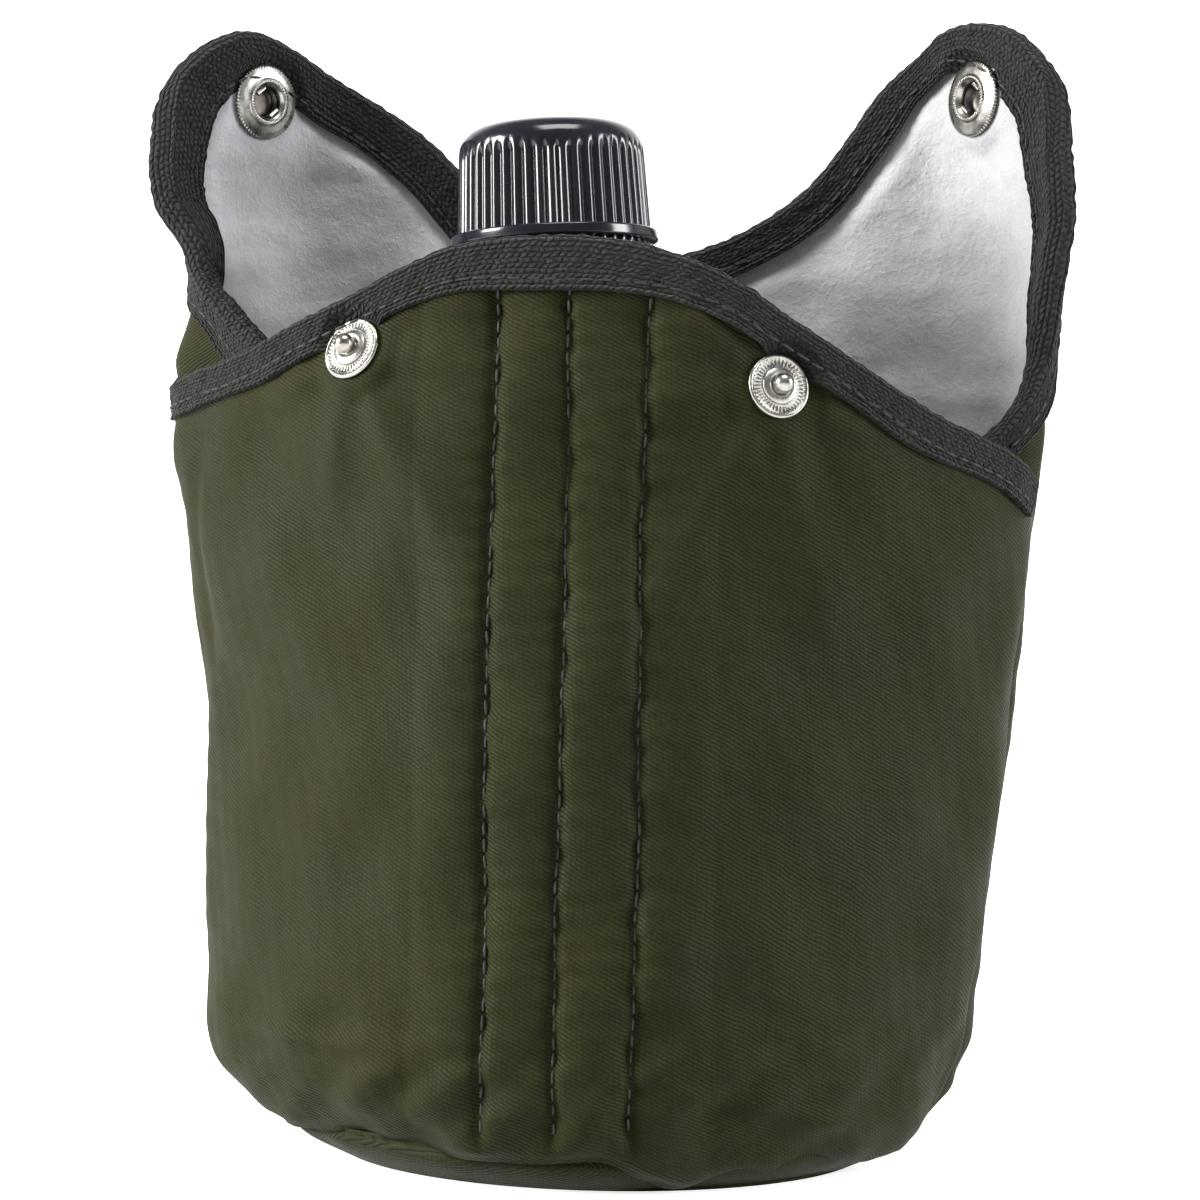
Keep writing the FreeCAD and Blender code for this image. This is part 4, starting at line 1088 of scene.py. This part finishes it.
def bottom_ring(z, scale, depth, count):
    """One ring of the bottom, by height, by size about its middle and by depth under the outer face."""
    ring = full_outline(z, count)
    middle = ring.mean(0)
    way = unit(np.roll(ring, -1, axis=0) - np.roll(ring, 1, axis=0))
    outward = np.column_stack((way[:, 1], -way[:, 0]))
    turn = np.arange(count) * math.tau / count
    soft = 0.35 * waves(100 * np.cos(turn), 100 * np.sin(turn), 51, (60.0, 30.0)) * float(smooth(z, 0.4, 4))
    soft = soft - 0.5 - 1.9 * float(smooth(z, 5.2, 7.0))
    # the bottom draws in under the front panel where that slips below it
    under = smooth(ring[:, 0], 8, 22) * smooth(ring[:, 0], 68, 60) * smooth(ring[:, 1], 0, -12)
    soft = soft - 1.2 * under * (z > 0.1)
    lift = depth * (0.25 + 0.75 * float(smooth(z, 6, 0)))
    ring = ring + outward * (soft - depth * min(1.0, 0.25 + z / 6))[:, None]
    ring = middle + (ring - middle) * scale
    return np.column_stack((ring, np.full(count, z + lift * (1 if z < 6 else 0.3))))


def make_bottom():
    count = 300
    rings = [(z, 1.0) for z in (7.9, 7.2, 6.4, 5.4, 4.4, 3.4, 2.5, 1.7, 1.0, 0.5, 0.15, 0.0)]
    rings += [(0.0, s) for s in np.linspace(0.985, 0.03, 26)]
    total = len(rings) * count
    rim = np.arange(count)
    after = (rim + 1) % count
    faces = grid_faces(len(rings), count, 0, True, closed=True).tolist()
    faces += grid_faces(len(rings), count, total, False, closed=True).tolist()
    faces += np.stack((rim, after, after + total, rim + total), axis=-1).tolist()
    faces.append((rim + total - count)[::-1].tolist())
    faces.append((rim + total * 2 - count).tolist())
    for name, look, start, thick, replaced in (("bottom_panel", "nylon", 0.0, NYLON, "bottom_shell"),
                                               ("bottom_felt", "felt", NYLON, FELT, "bottom_lining")):
        points = np.concatenate([bottom_ring(z, scale, depth, count)
                                 for depth in (start, start + thick) for z, scale in rings])
        cover_piece(name, (points, faces, points[:, :2]), look, replaced)


# ------------------------------------------------------------ belt loop

def make_belt_loop():
    low, high = (np.array(v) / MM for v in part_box("belt_loop"))
    rise = high[1]
    middle_x, half = (low[0] + high[0]) / 2, (high[0] - low[0]) / 2
    share = np.linspace(0, 1, 190)
    z = high[2] + (low[2] - high[2]) * share
    end = np.minimum(share, 1 - share) * (high[2] - low[2])
    stand = smooth(end, 9.0, 19.0)
    across = np.linspace(-half, half, 150)
    on_back = BACK.flat(across[None, :] + middle_x + 0 * z[:, None], z[:, None] + 0 * across[None, :])
    foot = on_back[..., 1] + 0.35
    crown = rise - 1.8 - 0.25 * (across[None, :] / half) ** 2
    y_in = foot * (1 - stand[:, None]) + crown * stand[:, None]
    pitch = 1.5
    row = np.floor((across + half) / pitch)
    ribs = np.abs(np.sin(math.pi * (across + half) / pitch)) ** 0.7
    knots = np.sin(z[:, None] * math.tau / 2.6 + math.pi * row[None, :])
    lift = 0.22 * ribs[None, :] * (0.7 + 0.3 * knots)
    sewn = bell(end - 3.0, 0.9) + bell(end - 8.6, 0.9)
    lift = lift - 0.3 * sewn[:, None]
    outer = np.stack((on_back[..., 0], y_in + 1.45 + lift, on_back[..., 2]), axis=-1)
    inner = np.stack((on_back[..., 0], y_in - 0.5 * lift + 0.1, on_back[..., 2]), axis=-1)
    flat = np.stack(np.broadcast_arrays(across[None, :], z[:, None]), axis=-1)
    cover_piece("belt_webbing", slab(outer, inner, flat), "webbing", "belt_loop")
    # each sewn end has a box of stitches with a cross in it
    lines = [outer[index, 6:-6] + (0, 0.28, 0) for index in (7, 21, 168, 182)]
    for first, last in ((7, 21), (168, 182)):
        lines += [outer[first:last + 1, column] + (0, 0.28, 0) for column in (6, -7)]
        rows = np.arange(first, last + 1)
        columns = np.linspace(6, 143, len(rows)).astype(int)
        lines += [outer[rows, chosen] + (0, 0.3, 0) for chosen in (columns, columns[::-1])]
    parts = []
    for line in lines:
        parts += stitch_row(line, np.array((0.0, 1.0, 0.0)), 3.0, 2.4, 0.32)
    thread_piece("belt_loop_stitches", parts)


# ------------------------------------------------------------ turned parts

def turned(name, foot, way, outline, look, body, replaced, sides=96, ripple=None):
    """A part turned about an axis: its outline is radius and height, and ripple adds to them."""
    way = unit(way)
    across = unit(np.cross(way, (0.0, 1.0, 0.3)))
    other = np.cross(way, across)
    outline = np.asarray(outline, float)
    turn = np.arange(sides) * math.tau / sides
    radius = np.repeat(outline[:, 0, None], sides, axis=1)
    height = np.repeat(outline[:, 1, None], sides, axis=1)
    if ripple:
        more_radius, more_height = ripple(radius, height, turn[None, :])
        radius, height = radius + more_radius, height + more_height
    circle = np.cos(turn)[:, None] * across + np.sin(turn)[:, None] * other
    points = foot + height[..., None] * way + radius[..., None] * circle[None, :, :]
    rows = len(outline)
    faces = grid_faces(rows, sides, closed=True).tolist()
    closed = outline[0, 0] > 1e-3 and np.allclose(outline[0], outline[-1])
    if closed:
        points = points[:-1]
        faces = [[v % (sides * (rows - 1)) for v in f] for f in faces]
    points = points.reshape(-1, 3)
    if not closed:
        faces.append(list(range(sides))[::-1])
        faces.append([len(points) - sides + k for k in range(sides)])
    item = dress(mesh_object(name, points, faces, points[:, [0, 2]]), look)
    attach(item, body)
    if replaced:
        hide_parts(replaced)


def arc(centre_r, centre_h, radius, start, stop, count=12):
    """An arc of an outline, from one angle in degrees to another."""
    return [(centre_r + radius * math.cos(math.radians(t)), centre_h + radius * math.sin(math.radians(t)))
            for t in np.linspace(start, stop, count)]


def make_stud(name, foot, way):
    outline = [(0.02, 0.0), (5.5, 0.0)] + arc(5.45, 0.45, 0.4, -90, 150, 14)
    outline += [(4.95, 0.56), (4.7, 0.5), (4.3, 0.46), (3.9, 0.48), (3.6, 0.55), (3.4, 0.64)]
    outline += arc(3.0, 1.0, 0.38, -20, 80, 6)
    outline += [(2.75, 1.5), (2.2, 1.62), (1.65, 1.3), (1.42, 1.05), (1.4, 1.25), (1.46, 1.5)]
    outline += arc(0.0, 2.62, 1.9, -36, 89, 22) + [(0.02, 4.52)]

    def flutes(radius, height, turn):
        zone = smooth(radius, 3.3, 3.7) * smooth(radius, 5.05, 4.85) * smooth(height, 0.1, 0.3)
        return 0 * radius, zone * 0.13 * np.sin(turn * 40)

    turned(name + "_stud", foot, way, outline, "nickel", "cover", name + "_snap_stud", 320, flutes)


def make_socket(name, foot, way):
    outline = arc(6.7, 0.5, 0.47, -90, 70, 12)
    outline += [(6.6, 1.0), (6.3, 1.13), (5.8, 1.24), (5.2, 1.34), (4.8, 1.42), (4.55, 1.5)]
    outline += arc(4.1, 1.6, 0.4, 0, 180, 10)
    outline += [(3.55, 1.4), (3.3, 1.1), (3.15, 0.8), (3.1, 0.5), (3.1, 0.03)]
    outline.append(outline[0])

    def beads(radius, height, turn):
        rim = smooth(radius, 6.7, 7.05) * smooth(height, 1.0, 0.85)
        ring = bell(radius - 4.1, 0.4) * smooth(height, 1.6, 1.9)
        return rim * 0.13 * np.sin(turn * 64), ring * 0.13 * np.cos(turn * 48)

    tip = name + "_tip"
    turned(name + "_socket_ring", foot, way, outline, "nickel", tip, name + "_snap_socket", 384, beads)
    # a dark cup in the socket's hole: its dark finish is painted shade inside the hole
    well = [(0.02, -2.0), (2.9, -2.0), (3.05, -1.85), (3.06, 0.1), (2.85, 0.1), (2.8, -1.4), (2.5, -1.65),
            (1.6, -1.72), (0.02, -1.72)]
    turned(name + "_socket_shade_well", foot, way, well, "dark_metal", tip, None, 48)


def make_button(name, foot, way):
    outline = [(0.02, -0.8), (1.4, -0.8), (1.4, -0.1), (6.9, -0.1)] + arc(6.75, 0.35, 0.45, -80, 70, 10)
    outline += [(6.3, 1.0), (5.4, 1.42), (4.0, 1.72), (2.2, 1.88), (0.02, 1.92)]
    turned(name + "_button", foot + way * CLOTH, way, outline, "nickel", name + "_tip", name + "_snap_button")


def make_snap_parts():
    for side, fold in FOLDS.items():
        name = fold["name"]
        make_stud(name, *STUDS[side])
        make_socket(name, *SEATS[side])
        make_button(name, *base_frame(name + "_snap_button", -SEATS[side][1]))


def make_cap():
    lean = math.radians(-3.5)
    foot, way = base_frame("cap", (math.sin(lean), 0, math.cos(lean)))
    outline = [(14.6, 21.5), (14.6, 1.2), (14.9, 0.35), (15.6, 0.0), (17.7, 0.0), (18.15, 0.2), (18.3, 0.6)]
    outline += [(18.25 - 0.85 * t, 1.0 + 17.4 * t) for t in np.linspace(0, 1, 30)]
    outline += [(17.35, 19.2), (17.2, 20.1), (16.95, 20.9), (16.55, 21.7), (15.9, 22.5), (15.0, 23.2),
                (13.8, 23.75), (12.3, 24.1), (10.0, 24.25), (6.0, 24.22), (2.0, 24.2), (0.02, 24.2)]

    def ribs(radius, height, turn):
        zone = smooth(height, 0.6, 1.5) * smooth(height, 20.0, 17.6) * smooth(radius, 15.6, 16.2)
        wave = np.cos(turn * 48)
        return -zone * 0.72 * (1 - np.abs(0.5 + 0.5 * wave) ** 0.55), 0 * radius

    inner = [(0.02, 21.6), (14.5, 21.6)]
    turned("screw_cap", foot, way, inner + outline, "cap_plastic", "cap", "cap", 576, ribs)
    foot, _ = base_frame("cap_ring", way)
    outline = arc(18.95, 0.5, 0.5, -80, 0, 6) + [(19.4, 1.3)] + arc(18.95, 1.7, 0.5, 10, 90, 6)
    outline += [(17.9, 2.2), (17.4, 1.9), (17.4, 0.3), (17.7, 0.0)]
    outline.append(outline[0])
    turned("collar_ring", foot, way, outline, "cap_plastic", "cap_collar", "cap_ring", 128)


def finish_cad_nodes():
    """Every CAD node gets the finish of its slot, which is seen on those that no shaped piece stands for."""
    for part in frame["record"]["subparts"]:
        materials = frame["nodes"][part["node"]].data.materials
        materials.clear()
        materials.append(LOOKS[part["material_slot"]])


# ------------------------------------------------------------ build

finish_cad_nodes()
make_front_panel()
make_front_felt()
make_quilting()
make_front_binding()
make_back_panel()
make_back_felt()
make_back_binding()
make_bottom()
make_belt_loop()
make_snap_parts()
make_cap()

# ------------------------------------------------------------ room, lights, camera

paper = Shader("paper_floor", Roughness=0.9, Emission_Color=(1.0, 1.0, 1.0, 1.0), Emission_Strength=0.72)
paper.colour(paper.noise(1.5, 2.0), (0.0, (0.86, 0.86, 0.86)), (1.0, (0.90, 0.90, 0.90)))
# it lies flat, bends up in an arc behind the object and rises to a wall
bend = [(1500 + 900 * math.sin(t), 900 - 900 * math.cos(t)) for t in np.linspace(0.15, math.pi / 2, 12)]
steps = [(-1600.0, 0.0), (1500.0, 0.0)] + bend + [(2400.0, 3200.0)]
points = np.array([(x, y, z - 0.02) for y, z in steps for x in (-3200.0, 3200.0)])
floor = mesh_object("floor", points, grid_faces(len(steps), 2), points[:, :2])
floor.data.materials.append(paper.material)
floor.visible_diffuse = False

scene = bpy.context.scene
scene.view_settings.view_transform = "Standard"
world = bpy.data.worlds.new("studio")
world.use_nodes = True
world.node_tree.nodes["Background"].inputs["Color"].default_value = (0.97, 0.98, 1.0, 1.0)
world.node_tree.nodes["Background"].inputs["Strength"].default_value = 0.25
scene.world = world


def area_light(name, place, aim, width, height, energy, colour=(1.0, 1.0, 1.0)):
    data = bpy.data.lights.new(name, "AREA")
    data.shape = "RECTANGLE"
    data.size, data.size_y, data.energy, data.color = width, height, energy, colour
    item = bpy.data.objects.new(name, data)
    scene.collection.objects.link(item)
    item.location = place
    item.rotation_euler = (Vector(aim) - Vector(place)).to_track_quat("-Z", "Y").to_euler()


area_light("key", (-1.55, -0.60, 0.70), (0, 0, 0.11), 0.7, 0.8, 60.0, (1.0, 0.99, 0.97))
area_light("fill", (1.7, -0.15, 0.55), (0, 0, 0.1), 0.6, 0.9, 29.0, (0.97, 0.98, 1.0))
area_light("overhead", (0.15, -0.5, 1.6), (0, 0, 0.12), 0.9, 0.6, 16.0)
area_light("backdrop", (0.0, 0.9, 1.6), (0, 2.4, 0.6), 3.0, 1.2, 60.0)

azimuth = math.radians(6.0)
camera = bpy.data.objects.new("camera", bpy.data.cameras.new("camera"))
scene.collection.objects.link(camera)
camera.data.lens, camera.data.sensor_width = 96.0, 36.0
camera.data.clip_start, camera.data.clip_end = 0.02, 20.0
camera.data.dof.use_dof = False
distance, aside, height = 0.608, 0.00285, 0.106
camera.location = (math.sin(azimuth) * distance + math.cos(azimuth) * aside,
                   -math.cos(azimuth) * distance + math.sin(azimuth) * aside, height)
camera.rotation_mode = "QUATERNION"
roll = Euler((0, 0, math.radians(1.2))).to_quaternion()
camera.rotation_quaternion = Euler((math.radians(90), 0, azimuth)).to_quaternion() @ roll
scene.camera = camera
